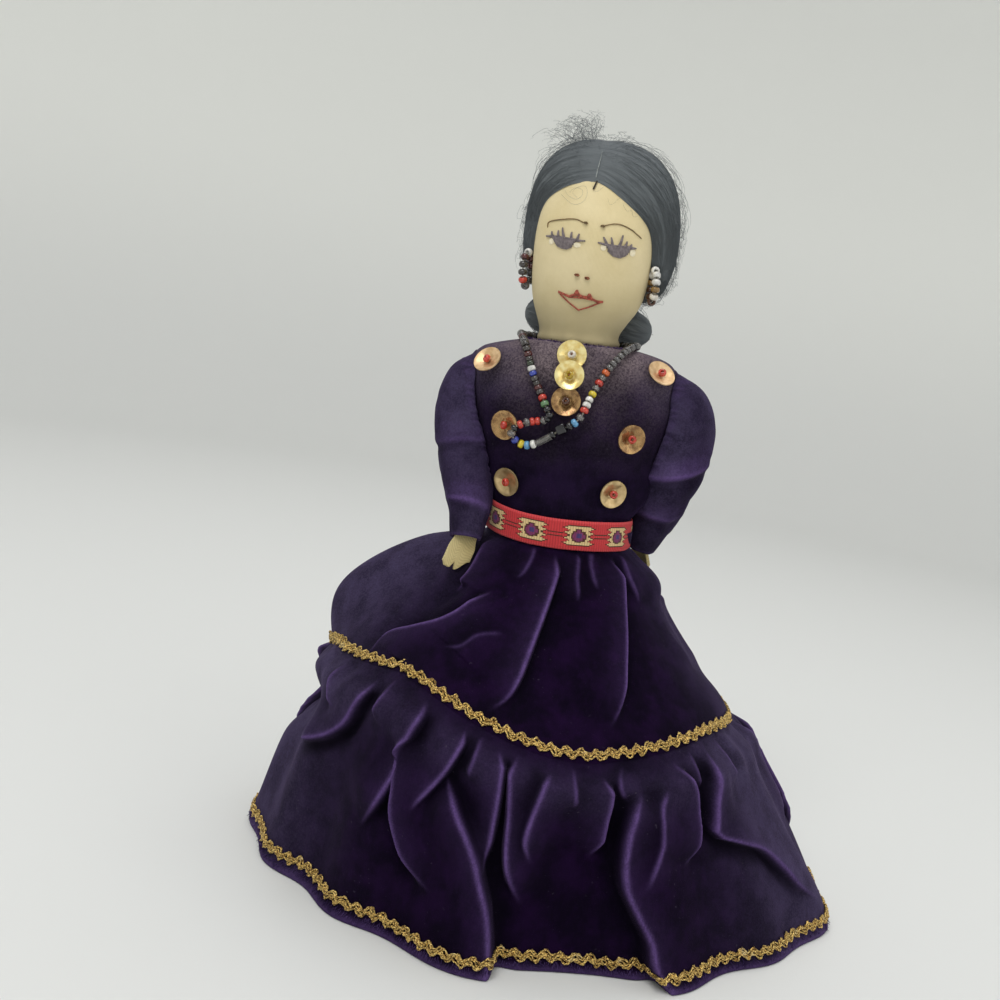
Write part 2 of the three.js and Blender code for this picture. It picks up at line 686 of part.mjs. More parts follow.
function shoeSolid(hipHeight) {
  const outline = (length, halfWidth, back, height) => ring(16, (turn) => {
    const toe = Math.cos(turn) > 0 ? length - back : back;
    return new THREE.Vector3(halfWidth * Math.sin(turn), -toe * Math.cos(turn), soleHeight - hipHeight + height);
  });
  const heel = shoeLength / 2 - shoeForward;
  const collar = ankleRadius + velvet + seatGap;
  const shoe = loft([
    outline(shoeLength - 1, shoeHalfWidth - 0.5, heel + collar / 2 - 0.5, 0),
    outline(shoeLength, shoeHalfWidth, heel + collar / 2, shoeHeight * 0.16),
    outline(shoeLength * 0.94, shoeHalfWidth, heel + collar / 2, shoeHeight * 0.4),
    outline(shoeLength * 0.72, shoeHalfWidth, collar, shoeHeight * 0.68),
    outline(2 * collar, collar, collar, shoeHeight),
  ]);
  return geometryOf(solidOf(shoe).subtract(solidOf(loft(legRings(hipHeight, seatGap)))));
}

// Head
const headAround = 28;
const headShares = [0, 0.1, 0.2, 0.32, 0.44, 0.54, 0.64, 0.74, 0.83, 0.9, 0.96, 0.995];

// Swells from the neck to the cheeks, then rounds over to the crown.
function headSize(neck, cheek, share) {
  if (share < cheekShare) return lerp(neck, cheek, THREE.MathUtils.smoothstep(share, -0.1, cheekShare));
  return cheek * Math.sqrt(1 - ((share - cheekShare) / (1 - cheekShare)) ** 2.4);
}

function headRings(offset) {
  return headShares.map((share) => ring(headAround, (turn) => {
    const depth = Math.cos(turn) > 0 ? faceDepth : headBack;
    const x = (headSize(neckHalfWidth, cheekHalfWidth, share) + offset) * Math.sin(turn);
    const y = -(headSize(neckHalfDepth, depth, share) + offset) * Math.cos(turn);
    return new THREE.Vector3(x, y, share * headHeight + (share > 0.9 ? offset : 0));
  }));
}

// Bun: an hourglass lying across the nape, drawn in by its tie
const bunBack = hairSetBack + headBack + hairSide - bunSink;
const bunSize = (share) => bunRadius * (1 - bunDip * Math.exp(-((share / 0.34) ** 2))) * Math.sqrt(1 - share ** 4);

function aroundBun(points) {
  const geometry = new THREE.LatheGeometry(points, 18);
  geometry.rotateZ(Math.PI / 2);
  geometry.translate(0, bunBack, bunRise);
  return geometry;
}

function bunProfile(offset) {
  const shares = [-0.97, -0.85, -0.65, -0.45, -0.25, -0.1, 0.1, 0.25, 0.45, 0.65, 0.85, 0.97];
  const end = bunHalfLength + offset;
  const rim = shares.map((share) => new THREE.Vector2(bunSize(share) + offset, share * end));
  return [new THREE.Vector2(0, -end), ...rim, new THREE.Vector2(0, end)];
}

const tieInner = bunSize(tieWidth / 2 / bunHalfLength) + seatGap;
function tieProfile(offset) {
  const [inner, outer] = [tieInner - offset, tieInner + tieThickness + offset];
  const half = tieWidth / 2 + offset;
  const corners = [[inner, -half], [outer - 0.4, -half], [outer, 0], [outer - 0.4, half], [inner, half], [inner, -half]];
  return corners.map(([radius, along]) => new THREE.Vector2(radius, along));
}

// Hair: a cap over the crown, open at the face, swept back from the ears to the bun
const hairTop = headHeight + hairCrown;
const hairMiddle = (hairTop + hairNape) / 2;
const hairRadii = new THREE.Vector3(
  cheekHalfWidth + hairSide,
  headBack + hairSide - hairSetBack,
  (hairTop - hairNape) / 2,
);

function faceOpening() {
  const arch = new THREE.Shape();
  arch.moveTo(-hairlineHalfWidth, 0);
  arch.lineTo(hairlineHalfWidth, 0);
  arch.lineTo(hairlineHalfWidth, earHeight);
  arch.absellipse(0, earHeight, hairlineHalfWidth, hairlineHeight - earHeight, 0, Math.PI);
  const deep = new THREE.ExtrudeGeometry(arch, { depth: hairRadii.y * 2, bevelEnabled: false, curveSegments: 12 });
  return deep.rotateX(Math.PI / 2);
}

// Seen from the side: everything below and in front of the line from the ear to the nape
function belowEars() {
  const reach = hairRadii.y * 2;
  const side = new THREE.Shape([
    new THREE.Vector2(-reach, -1),
    new THREE.Vector2(hairRadii.y * 0.8, -1),
    new THREE.Vector2(hairRadii.y * 0.8, hairNape + 4),
    new THREE.Vector2(0, earHeight),
    new THREE.Vector2(-reach, earHeight),
  ]);
  const width = hairRadii.x * 3;
  const wedge = new THREE.ExtrudeGeometry(side, { depth: width, bevelEnabled: false });
  const turned = new THREE.Matrix4().makeBasis(
    new THREE.Vector3(0, 1, 0),
    new THREE.Vector3(0, 0, 1),
    new THREE.Vector3(1, 0, 0),
  );
  return wedge.applyMatrix4(turned.setPosition(-width / 2, 0, 0));
}

function hairCap() {
  const cap = new THREE.SphereGeometry(1, 28, 18).rotateX(Math.PI / 2);
  cap.scale(hairRadii.x, hairRadii.y, hairRadii.z).translate(0, hairSetBack, hairMiddle);
  return solidOf(cap)
    .subtract(solidOf(loft(headRings(seatGap))))
    .subtract(solidOf(faceOpening()))
    .subtract(solidOf(belowEars()))
    .subtract(solidOf(aroundBun(bunProfile(seatGap))))
    .subtract(solidOf(aroundBun(tieProfile(seatGap))));
}

function hairHalf(cap, sign) {
  const size = hairTop * 2;
  const half = new THREE.BoxGeometry(size, size, size);
  half.translate((sign * (size + partingGap)) / 2, 0, 0);
  return geometryOf(cap.intersect(solidOf(half)));
}

// A thread laid over the parting, from the hairline up
function partingStitch() {
  const stand = threadRadius + seatGap;
  const arc = (angle) => new THREE.Vector3(
    0,
    hairSetBack - (hairRadii.y + stand) * Math.cos(angle),
    hairMiddle + (hairRadii.z + stand) * Math.sin(angle),
  );
  const start = Math.asin((hairlineHeight - hairMiddle) / hairRadii.z) + 0.06;
  const end = start + partingLength / hairRadii.z;
  const points = Array.from({ length: 5 }, (_, k) => arc(lerp(start, end, k / 4)));
  const thread = sweepRings(new THREE.CatmullRomCurve3(points), () => threadRadius, 6, 6, new THREE.Vector3(1, 0, 0));
  return loft(thread);
}

// Strung beads: one strand whose radius swells at each bead
function strandRings(curve, closed) {
  const count = Math.round(curve.getLength() / beadPitch);
  const steps = count * 2;
  const frames = curve.computeFrenetFrames(steps, closed);
  return Array.from({ length: closed ? steps : steps + 1 }, (_, k) => {
    const centre = curve.getPointAt(k / steps);
    const radius = k % 2 ? beadRadius : threadRadius;
    return ring(5, (turn) => centre.clone()
      .addScaledVector(frames.normals[k], radius * Math.sin(turn))
      .addScaledVector(frames.binormals[k], radius * Math.cos(turn)));
  });
}

function necklaceCurve() {
  const stand = beadRadius + seatGap;
  const front = necklaceFront.map(([x, rise, lift]) => {
    const turn = turnAt(x, rise);
    return bodicePoint(turn, rise).addScaledVector(bodiceNormal(turn, rise), stand + lift);
  });
  const back = necklaceBack.map((angle) => {
    const [turn, rise] = [degrees(angle), necklineRise - necklaceNape];
    return bodicePoint(turn, rise).addScaledVector(bodiceNormal(turn, rise), stand);
  });
  return new THREE.CatmullRomCurve3([...front, ...back], true);
}

function earringLoop(sign) {
  const cheek = headSize(neckHalfWidth, cheekHalfWidth, earringTop / headHeight);
  const out = cheek + seatGap + beadRadius;
  const middle = new THREE.Vector3(sign * out, -earringForward, earringTop - earringDrop / 2);
  const across = new THREE.Vector3(Math.cos(degrees(earringTurn)) * sign, Math.sin(degrees(earringTurn)), 0);
  const points = ring(10, (turn) => middle.clone()
    .addScaledVector(across, (earringWidth / 2) * Math.sin(turn))
    .addScaledVector(upAxis, (earringDrop / 2) * Math.cos(turn)));
  return loft(strandRings(new THREE.CatmullRomCurve3(points, true), true), true);
}

// Sequins: a shallow cup with a hole for the thread, and a bead over the hole
function sequinCupShape() {
  const floor = sequinRadius * 0.4;
  const corners = [
    [sequinHole, 0], [floor, 0], [sequinRadius, sequinCup],
    [sequinRadius, sequinCup + sequinThickness], [floor, sequinThickness], [sequinHole, sequinThickness],
    [sequinHole, 0],
  ];
  const cup = new THREE.LatheGeometry(corners.map(([r, z]) => new THREE.Vector2(r, z)), 10);
  return cup.rotateX(Math.PI / 2);
}

function sewnBeadShape() {
  const points = Array.from({ length: 6 }, (_, k) => {
    const turn = (k / 5) * 2 * Math.PI;
    const tube = (beadRadius - sequinHole) / 2;
    return new THREE.Vector2(sequinHole + tube - tube * Math.cos(turn), (-beadPitch / 2) * Math.sin(turn));
  });
  return new THREE.LatheGeometry(points, 8).rotateX(Math.PI / 2);
}

// A sequin in layer 1 lies over the rims of its neighbours in layer 0.
const sequinStack = sequinCup + sequinThickness + seatGap;
const sequinPlaces = [
  { name: "collar_upper", x: -1.6, rise: 60.6, bead: pearlGlass },
  { name: "collar_middle", x: -1.6, rise: 53.6, layer: 1, bead: amberGlass },
  { name: "collar_lower", x: -1.8, rise: 45, bead: brownGlass },
  { name: "shoulder_right", x: -29.4, rise: 56, bead: redGlass },
  { name: "shoulder_left", x: 29.4, rise: 56, bead: redGlass },
  { name: "chest_right", x: -21.2, rise: 35, bead: redGlass },
  { name: "chest_left", x: 21.2, rise: 35, bead: redGlass },
  { name: "waist_right", x: -18.6, rise: 15.5, bead: redGlass },
  { name: "waist_left", x: 18.6, rise: 15.5, bead: redGlass },
];

function addSequin(parent, { name, x, rise, bead, layer = 0 }) {
  const turn = turnAt(x, rise);
  const normal = bodiceNormal(turn, rise);
  const seat = new THREE.Group();
  seat.position.copy(bodicePoint(turn, rise)).addScaledVector(normal, seatGap + layer * sequinStack);
  seat.quaternion.setFromUnitVectors(upAxis, normal);
  piece(seat, `sequin_${name}`, sequinCupShape(), goldFoil);
  const top = piece(seat, `bead_${name}`, sewnBeadShape(), bead);
  top.position.z = sequinThickness + seatGap + beadPitch / 2;
  parent.add(seat);
}

// Assembly
const doll = new THREE.Group();
const skirt = new THREE.Group();
piece(skirt, "skirt_upper_tier", clothShell(upperGrid), purpleVelvet);
piece(skirt, "skirt_lower_tier", clothShell(lowerGrid), purpleVelvet);
const seamBraidLow = lowerTierDrop + seamBraidRise;
piece(skirt, "seam_braid", braidBand(upperGrid, seamBraidLow, seamBraidLow + braidWidth), goldThread);
piece(skirt, "hem_braid", braidBand(lowerGrid, hemBraidRise, hemBraidRise + braidWidth), goldThread);
doll.add(skirt);

const upperBody = new THREE.Group();
upperBody.position.copy(beltCentre);
upperBody.rotation.y = degrees(bodyLean);
piece(upperBody, "torso", torsoSolid(), creamMuslin);
piece(upperBody, "blouse_body", clothShell(bodiceGrid), purpleVelvet);
piece(upperBody, "belt", beltBand(), redRibbon);
sequinPlaces.forEach((place) => addSequin(upperBody, place));
piece(upperBody, "necklace", loft(strandRings(necklaceCurve(), true), true), mixedGlass);
doll.add(upperBody);

for (const side of ["left", "right"]) {
  const curve = armCurve(side);
  piece(upperBody, `sleeve_${side}`, sleeveSolid(curve), purpleVelvet);
  piece(upperBody, `arm_core_${side}`, armCoreSolid(curve), creamMuslin);
  piece(upperBody, `hand_${side}`, handSolid(curve, side), tanTwill);
}

const head = new THREE.Group();
head.position.set(headShift, 0, necklineRise + seatGap);
head.rotation.z = degrees(headTurn);
piece(head, "head", loft(headRings(0)), creamMuslin);
piece(head, "bun", aroundBun(bunProfile(0)), blackHair);
piece(head, "bun_tie", aroundBun(tieProfile(0)), whiteYarn);
piece(head, "parting_stitch", partingStitch(), whiteYarn);
const cap = hairCap();
for (const [side, sign] of [["left", 1], ["right", -1]]) {
  piece(head, `hair_${side}`, hairHalf(cap, sign), blackHair);
  piece(head, `earring_${side}`, earringLoop(sign), mixedGlass);
}
upperBody.add(head);

for (const [side, sign] of [["left", 1], ["right", -1]]) {
  const leg = new THREE.Group();
  leg.position.copy(hipPoint(sign));
  piece(leg, `leg_${side}`, legSolid(leg.position.z), creamMuslin);
  piece(leg, `shoe_${side}`, shoeSolid(leg.position.z), brownHide);
  doll.add(leg);
}

// Stand the doll with the middle of its hem's footprint on the origin.
const footprint = new THREE.Box3().setFromObject(skirt).getCenter(new THREE.Vector3());
doll.position.set(-footprint.x, -footprint.y, 0);

export default doll;
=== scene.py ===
import math

import bpy
import numpy as np
from mathutils import Matrix, Vector


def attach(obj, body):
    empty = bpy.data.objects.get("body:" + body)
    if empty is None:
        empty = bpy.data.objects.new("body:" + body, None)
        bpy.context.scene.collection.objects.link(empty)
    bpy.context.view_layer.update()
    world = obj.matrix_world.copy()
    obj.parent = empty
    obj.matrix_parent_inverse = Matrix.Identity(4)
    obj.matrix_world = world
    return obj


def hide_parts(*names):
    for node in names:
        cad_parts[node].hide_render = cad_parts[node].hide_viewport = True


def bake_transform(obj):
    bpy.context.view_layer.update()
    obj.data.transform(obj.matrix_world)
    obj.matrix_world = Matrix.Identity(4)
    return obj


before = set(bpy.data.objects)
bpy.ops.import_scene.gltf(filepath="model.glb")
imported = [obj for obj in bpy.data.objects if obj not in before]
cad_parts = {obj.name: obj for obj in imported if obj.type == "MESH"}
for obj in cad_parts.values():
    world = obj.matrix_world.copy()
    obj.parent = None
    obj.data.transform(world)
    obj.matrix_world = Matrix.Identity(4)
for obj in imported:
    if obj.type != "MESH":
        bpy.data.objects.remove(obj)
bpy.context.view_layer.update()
print("frame loaded:", len(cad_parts), "nodes")

# the doll's own axes, in millimetres and degrees: x to its left, the face along -y
doll = {"middle": (-13.32888, 6.162483, 0.0), "beltHeight": 125.4, "lean": -3.5, "headRise": 65.35,
        "headSide": 1.5, "headTurn": -7.0}
signOf = {"left": 1, "right": -1}


def toFrame(points):
    return (np.asarray(points, float) + doll["middle"]) / 1000


def onBody(points):  # from the upper body's axes, which lean to one side
    p = np.asarray(points, float)
    c, s = math.cos(math.radians(doll["lean"])), math.sin(math.radians(doll["lean"]))
    return np.stack([p[..., 0] * c + p[..., 2] * s, p[..., 1],
                     p[..., 2] * c - p[..., 0] * s + doll["beltHeight"]], -1)


def onHead(points):  # from the head's axes, at the neck seam
    p = np.asarray(points, float)
    c, s = math.cos(math.radians(doll["headTurn"])), math.sin(math.radians(doll["headTurn"]))
    return onBody(np.stack([p[..., 0] * c - p[..., 1] * s + doll["headSide"], p[..., 0] * s + p[..., 1] * c,
                            p[..., 2] + doll["headRise"]], -1))


def ease(value, low, high):
    t = np.clip((np.asarray(value, float) - low) / (high - low), 0, 1)
    return t * t * (3 - 2 * t)


def bell(away, width):
    return np.exp(-((away / width) ** 2))


def smoothLine(stations):  # a smooth run through rows of (place, value, value)
    place = np.array([row[0] for row in stations], float)
    value = np.array([row[1:] for row in stations], float)
    slope = np.zeros_like(value)
    slope[1:-1] = (value[2:] - value[:-2]) / (place[2:] - place[:-2])[:, None]
    slope[0] = 1.5 * (value[1] - value[0]) / (place[1] - place[0]) - 0.5 * slope[1]
    slope[-1] = 1.5 * (value[-1] - value[-2]) / (place[-1] - place[-2]) - 0.5 * slope[-2]

    def at(x):
        x = np.asarray(x, float)
        k = np.clip(np.searchsorted(place, x) - 1, 0, len(place) - 2)
        step = (place[k + 1] - place[k])[..., None]
        s = (x - place[k])[..., None] / step
        return ((2 * s**3 - 3 * s**2 + 1) * value[k] + (s**3 - 2 * s**2 + s) * step * slope[k]
                + (3 * s**2 - 2 * s**3) * value[k + 1] + (s**3 - s**2) * step * slope[k + 1])
    return at


def runOf(points):  # length run at each point of a line
    return np.r_[0, np.cumsum(np.linalg.norm(np.diff(points, axis=0), axis=1))]


def sampled(at, run, values):  # rows of values at places along their run
    return np.stack([np.interp(at, run, column) for column in np.asarray(values).T], -1)


def unit(vectors):
    return vectors / np.linalg.norm(vectors, axis=-1, keepdims=True)


def outward(turn):  # the way out from the doll's axis
    t = np.radians(turn)
    return np.stack([np.sin(t), -np.cos(t), 0 * t], -1)


def sideways(turn):
    t = np.radians(turn)
    return np.stack([np.cos(t), np.sin(t), 0 * t], -1)


def through(points, count):  # evenly spaced points on a smooth line through the given ones
    points = np.asarray(points, float)
    run = runOf(points)
    fine = smoothLine(np.c_[run, points])(np.linspace(0, run[-1], count * 6))
    run = runOf(fine)
    even = np.linspace(0, run[-1], count)
    return sampled(even, run, fine)


def wander(seed, turn, down, around):  # soft seeded unevenness that closes round the doll
    rng = np.random.default_rng(seed)
    total = 0
    for _ in range(8):
        waves = round(rng.uniform(-around, around))
        total = total + np.sin(np.radians(turn) * waves + down * rng.uniform(-1, 1) + rng.uniform(0, 6.28))
    return total / 4


# handling of pieces
def pick(piece):
    bpy.ops.object.select_all(action="DESELECT")
    piece.select_set(True)
    bpy.context.view_layer.objects.active = piece


def named(name, material):
    piece = bpy.context.object
    piece.name = piece.data.name = name
    piece.data.materials.clear()
    piece.data.materials.append(material)
    return piece


def modified(piece, kind, **settings):
    pick(piece)
    modifier = piece.modifiers.new(kind.title(), kind)
    for key, value in settings.items():
        setattr(modifier, key, value)
    bpy.ops.object.modifier_apply(modifier=modifier.name)


def edited(step, **settings):  # one edit mode step on the whole of the active piece
    bpy.ops.object.mode_set(mode="EDIT")
    bpy.ops.mesh.select_all(action="SELECT")
    step(**settings)
    bpy.ops.object.mode_set(mode="OBJECT")


def smoothed(piece, degrees=50):
    pick(piece)
    bpy.ops.object.shade_smooth_by_angle(angle=math.radians(degrees))


def clothGrid(name, material, grid, pointAt, middle=None):
    # a flat grid laid to its form; marks are values kept on its points
    bpy.ops.object.select_all(action="DESELECT")
    bpy.ops.mesh.primitive_grid_add(x_subdivisions=grid[0], y_subdivisions=grid[1], size=2)
    piece = named(name, material)
    mesh = piece.data
    flat = np.empty(len(mesh.vertices) * 3)
    mesh.vertices.foreach_get("co", flat)
    flat = flat.reshape(-1, 3) / 2 + 0.5
    points, marks = pointAt(flat[:, 0], flat[:, 1])
    mesh.vertices.foreach_set("co", toFrame(points).ravel())
    for key, values in marks.items():
        mark = mesh.attributes.new(key, "FLOAT", "POINT")
        mark.data.foreach_set("value", np.ascontiguousarray(values, np.float32))
    mesh.update()
    edited(bpy.ops.mesh.remove_doubles, threshold=2e-6)
    faces = len(mesh.polygons)
    normals, centres = np.empty(faces * 3), np.empty(faces * 3)
    mesh.polygons.foreach_get("normal", normals)
    mesh.polygons.foreach_get("center", centres)
    away = centres.reshape(-1, 3) - (toFrame(middle) if middle is not None
                                     else centres.reshape(-1, 3).mean(0))
    if (normals.reshape(-1, 3) * away).sum() < 0:
        edited(bpy.ops.mesh.flip_normals)
    pick(piece)
    bpy.ops.object.shade_smooth()
    return piece


def threadCurve(name, paths, radius, around, taper=None):
    curve = bpy.data.curves.new(name, "CURVE")
    curve.dimensions = "3D"
    curve.bevel_depth = radius / 1000
    curve.bevel_resolution = around
    curve.use_fill_caps = True
    for path in paths:
        spline = curve.splines.new("POLY")
        spline.points.add(len(path) - 1)
        spline.points.foreach_set("co", np.c_[toFrame(path), np.ones(len(path))].ravel())
        if taper is not None:
            spline.points.foreach_set("radius", np.interp(np.linspace(0, 1, len(path)), *zip(*taper)))
    piece = bpy.data.objects.new(name, curve)
    bpy.context.collection.objects.link(piece)
    return piece


def strung(name, material, paths, radius, around=0, taper=None):
    # round threads or hairs along paths, made one mesh
    pick(threadCurve(name, paths, radius, around, taper))
    bpy.ops.object.convert(target="MESH")
    piece = named(name, material)
    bpy.ops.object.shade_smooth()
    return piece


def copies(name, material, seed, places):
    # copies of one modelled shape, each with its own mesh, joined to one piece
    made = []
    for place in places:
        mesh = seed.data.copy()
        mesh.transform(place)
        copy = bpy.data.objects.new(name, mesh)
        bpy.context.collection.objects.link(copy)
        made.append(copy)
    bpy.ops.object.select_all(action="DESELECT")
    for copy in made:
        copy.select_set(True)
    bpy.context.view_layer.objects.active = made[0]
    if len(made) > 1:
        bpy.ops.object.join()
    return named(name, material)


def facing(point, direction, size=1.0, spin=0.0):  # a place whose z axis looks along a direction
    z = Vector(direction).normalized()
    turn = z.to_track_quat("Z", "Y").to_matrix().to_4x4()
    return (Matrix.Translation(Vector(toFrame(point))) @ turn @ Matrix.Rotation(spin, 4, "Z")
            @ Matrix.Diagonal((size, size, size, 1)))


def settled(piece, body, slot, *nodes):
    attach(piece, body)
    if nodes:
        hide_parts(*nodes)
    return piece


# camera: eye level a little above the belt, the doll leaning right in the picture
view = {"away": 397.0, "elevation": 9.0, "roll": 10.0, "focal": 1100, "beltAt": (558, 525)}
eye = bpy.data.cameras.new("camera")
eye.sensor_width = 36
eye.lens = view["focal"] / 1000 * 36
eye.shift_x = (500 - view["beltAt"][0]) / 1000
eye.shift_y = (view["beltAt"][1] - 500) / 1000
eye.clip_start = 0.01
up = Vector((0, math.sin(math.radians(view["elevation"])), math.cos(math.radians(view["elevation"]))))
back = Vector((0, -up.z, up.y))
side = Vector((1, 0, 0))
c, s = math.cos(math.radians(view["roll"])), math.sin(math.radians(view["roll"]))
axes = Matrix((side * c + up * s, up * c - side * s, back)).transposed().to_4x4()
camera = bpy.data.objects.new("camera", eye)
camera.matrix_world = Matrix.Translation(Vector(toFrame((0, 0, doll["beltHeight"])))
                                         + back * view["away"] / 1000) @ axes
bpy.context.collection.objects.link(camera)
bpy.context.scene.camera = camera
bpy.context.scene.view_settings.view_transform = "Standard"


# finishes
class Wire:  # a shader value that takes part in sums
    def __init__(self, tree, socket=None):
        self.tree, self.socket = tree, socket

    def node(self, kind, settings, values, out=0):
        made = self.tree.nodes.new("ShaderNode" + kind)
        for key, value in settings.items():
            setattr(made, key, value)
        for key, value in values.items():
            self.plug(made.inputs[key], value)
        return Wire(self.tree, made.outputs[out])

    def plug(self, socket, value):
        if isinstance(value, Wire):
            self.tree.links.new(value.socket, socket)
        else:
            socket.default_value = value

    def math(self, operation, first, second=0.0):
        return self.node("Math", {"operation": operation}, {0: first, 1: second})

    def __add__(self, other): return self.math("ADD", self, other)
    def __radd__(self, other): return self.math("ADD", other, self)
    def __rsub__(self, other): return self.math("SUBTRACT", other, self)
    def __mul__(self, other): return self.math("MULTIPLY", self, other)
    def __rmul__(self, other): return self.math("MULTIPLY", other, self)

    def clear(self):  # held between 0 and 1
        return self.node("Clamp", {}, {"Value": self})

    def band(self, low, high):  # 0 below low, 1 above high
        return self.node("MapRange", {"interpolation_type": "SMOOTHSTEP"},
                         {"Value": self, "From Min": low, "From Max": high})


def rgb(red, green, blue):  # screen colour to the shader's
    return tuple(v / 12.92 if v <= 0.04045 else ((v + 0.055) / 1.055) ** 2.4
                 for v in (red / 255, green / 255, blue / 255)) + (1.0,)


class Finish:  # one material, its wires and its shader
    def __init__(self, name, constants):
        self.material = bpy.data.materials.new(name)
        self.material.use_nodes = True
        self.wire = Wire(self.material.node_tree)
        self.shader = self.material.node_tree.nodes["Principled BSDF"]
        for socket, value in constants.items():
            self.shader.inputs[socket].default_value = value

    def coords(self, kind="Object", stretch=(1, 1, 1)):
        place = self.wire.node("TexCoord", {}, {}, kind)
        return self.wire.node("VectorMath", {"operation": "MULTIPLY"}, {0: place, 1: stretch})

    def noise(self, place, scale, detail=2.0, rough=0.5):
        return self.wire.node("TexNoise", {}, {"Vector": place, "Scale": scale, "Detail": detail,
                                               "Roughness": rough}, "Fac")

    def wave(self, place, axis, scale, bend=0.0):
        values = {"Vector": place, "Scale": scale, "Distortion": bend, "Detail": 1.0, "Detail Scale": 2.0}
        return self.wire.node("TexWave", {"bands_direction": axis}, values, "Fac")

    def mark(self, name):
        return self.wire.node("Attribute", {"attribute_name": name}, {}, "Fac")

    def mix(self, share, first, second):
        return self.wire.node("Mix", {"data_type": "RGBA"}, {0: share, 6: first, 7: second}, 2)

    def bump(self, height, strength, distance):
        self.put("Normal", self.wire.node("Bump", {},
                                          {"Height": height, "Strength": strength, "Distance": distance},
                                          "Normal"))

    def put(self, socket, value):
        self.wire.plug(self.shader.inputs[socket], value)


velvetLook = {"deep": (8, 2, 18), "body": (24, 6, 38), "crest": (104, 80, 136), "haze": (66, 58, 84),
              "worn": (122, 109, 113)}
# a lighter copy of the velvet for the loose pile fibres; the extra lightness is painted sheen
pileSheenLook = {**velvetLook, "deep": (44, 30, 66), "body": (78, 60, 104), "crest": (140, 128, 152)}


def velvetFinish(name, look):
    # short pile: nearly black looked into, with painted shade in the fold hollows,
    # a painted violet highlight where it leans over a fold, a painted grey sheen where it is brushed, and
    # grey where it is worn
    made = Finish(name, {"Sheen Weight": 0.2, "Sheen Roughness": 0.25, "Sheen Tint": rgb(146, 122, 178),
                         "Specular IOR Level": 0.05, "Roughness": 0.9})
    place = made.coords()
    pile = made.noise(place, 2600, 2.0, 0.65)
    nap = made.noise(place, 95, 3.0, 0.6)
    brushed = made.noise(made.coords("Object", (1, 1, 0.45)), 420, 2.0, 0.6)
    grain = (pile.band(0.3, 0.75) * 0.5 + made.noise(place, 1250, 1.0, 0.7).band(0.34, 0.68) * 0.5).clear()
    colour = made.mix((nap.band(0.36, 0.68) * 0.75 + brushed.band(0.4, 0.75) * 0.25).clear(),
                      rgb(*look["deep"]), rgb(*look["body"]))
    # painted grey sheen where light grazes the velvet
    colour = made.mix((made.mark("haze") * (0.3 + 0.45 * nap.band(0.3, 0.7) + 0.5 * grain)).clear(),
                      colour, rgb(*look["haze"]))
    # painted shade, near black, in the hollows under the folds
    colour = made.mix((made.mark("hollow_shade") * 0.85).clear(), colour, rgb(5, 2, 12))
    # painted violet highlight along the fold crests
    colour = made.mix((made.mark("crest") * (0.3 + 0.45 * brushed + 0.35 * grain)).clear(), colour,
                      rgb(*look["crest"]))
    colour = made.mix((made.mark("worn") * (0.1 + 0.3 * nap + 1.1 * grain)).clear(), colour,
                      rgb(*look["worn"]))
    lint = made.noise(place, 1100, 0.0).band(0.76, 0.84) * made.noise(place, 70).band(0.5, 0.66)
    colour = made.mix(lint * 0.08, colour, rgb(140, 132, 146))
    made.put("Base Color", made.mix(pile.band(0.6, 0.82) * 0.16, colour, rgb(72, 54, 96)))
    made.put("Roughness", 0.75 + 0.2 * pile)
    made.bump(pile + nap * 0.6, 0.45, 0.0004)
    return made.material


def clothFinish(name, warm, pale, pitch, twill=False):
    # plain weave or twill, in the piece's own unrolled millimetres
    made = Finish(name, {"Sheen Weight": 0.08, "Sheen Roughness": 0.5, "Specular IOR Level": 0.2})
    place = made.coords("UV")
    soft = made.noise(made.coords(), 55, 3.0)
    slub = made.noise(made.coords(), 900, 2.0)
    if twill:
        cut = made.wire.node("VectorRotate", {"rotation_type": "Z_AXIS"},
                             {"Vector": place, "Angle": math.radians(58)})
        weave = made.wave(cut, "X", pitch, 0.05)
    else:
        weave = made.wave(place, "X", pitch, 0.4) * 0.5 + made.wave(place, "Y", pitch, 0.4) * 0.5
    colour = made.mix((soft.band(0.3, 0.7) * 0.6 + slub * 0.3).clear(), rgb(*warm), rgb(*pale))
    # painted shade, where a piece marks it
    colour = made.mix(made.mark("soil"), colour, rgb(*[v * 0.68 for v in warm]))
    made.put("Base Color", made.mix(weave.band(0.4, 0.05) * (0.3 if twill else 0.35), colour,
                                    rgb(*[v * 0.75 for v in warm])))
    made.put("Roughness", 0.8 + 0.15 * slub)
    made.bump(weave + slub * 0.4, 0.35, 0.0003)
    return made.material


def threadFinish(name, colour, gloss=0.55, shade=0.72):
    made = Finish(name, {"Sheen Weight": 0.1, "Specular IOR Level": 0.3})
    twist = made.noise(made.coords("Object", (1, 1, 0.6)), 1700, 1.0)
    made.put("Base Color", made.mix(twist.band(0.3, 0.7), rgb(*[v * shade for v in colour]), rgb(*colour)))
    made.put("Roughness", gloss + 0.25 * twist)
    made.bump(twist, 0.5, 0.0002)
    return made.material


def hairFinish(name):
    made = Finish(name, {"Specular IOR Level": 0.12, "Anisotropic": 0.3})
    strand = made.noise(made.coords("UV", (260, 5, 1)), 1.0, 3.0, 0.6)
    lock = made.noise(made.coords("UV", (40, 2.5, 1)), 1.0, 2.0)
    colour = made.mix(strand.band(0.3, 0.75), rgb(93, 98, 101), rgb(107, 112, 115))
    made.put("Base Color", made.mix(lock.band(0.5, 0.8) * 0.3, colour, rgb(86, 91, 96)))
    made.put("Roughness", 0.55 + 0.25 * strand)
    made.bump(strand + lock * 0.6, 0.22, 0.0004)
    return made.material


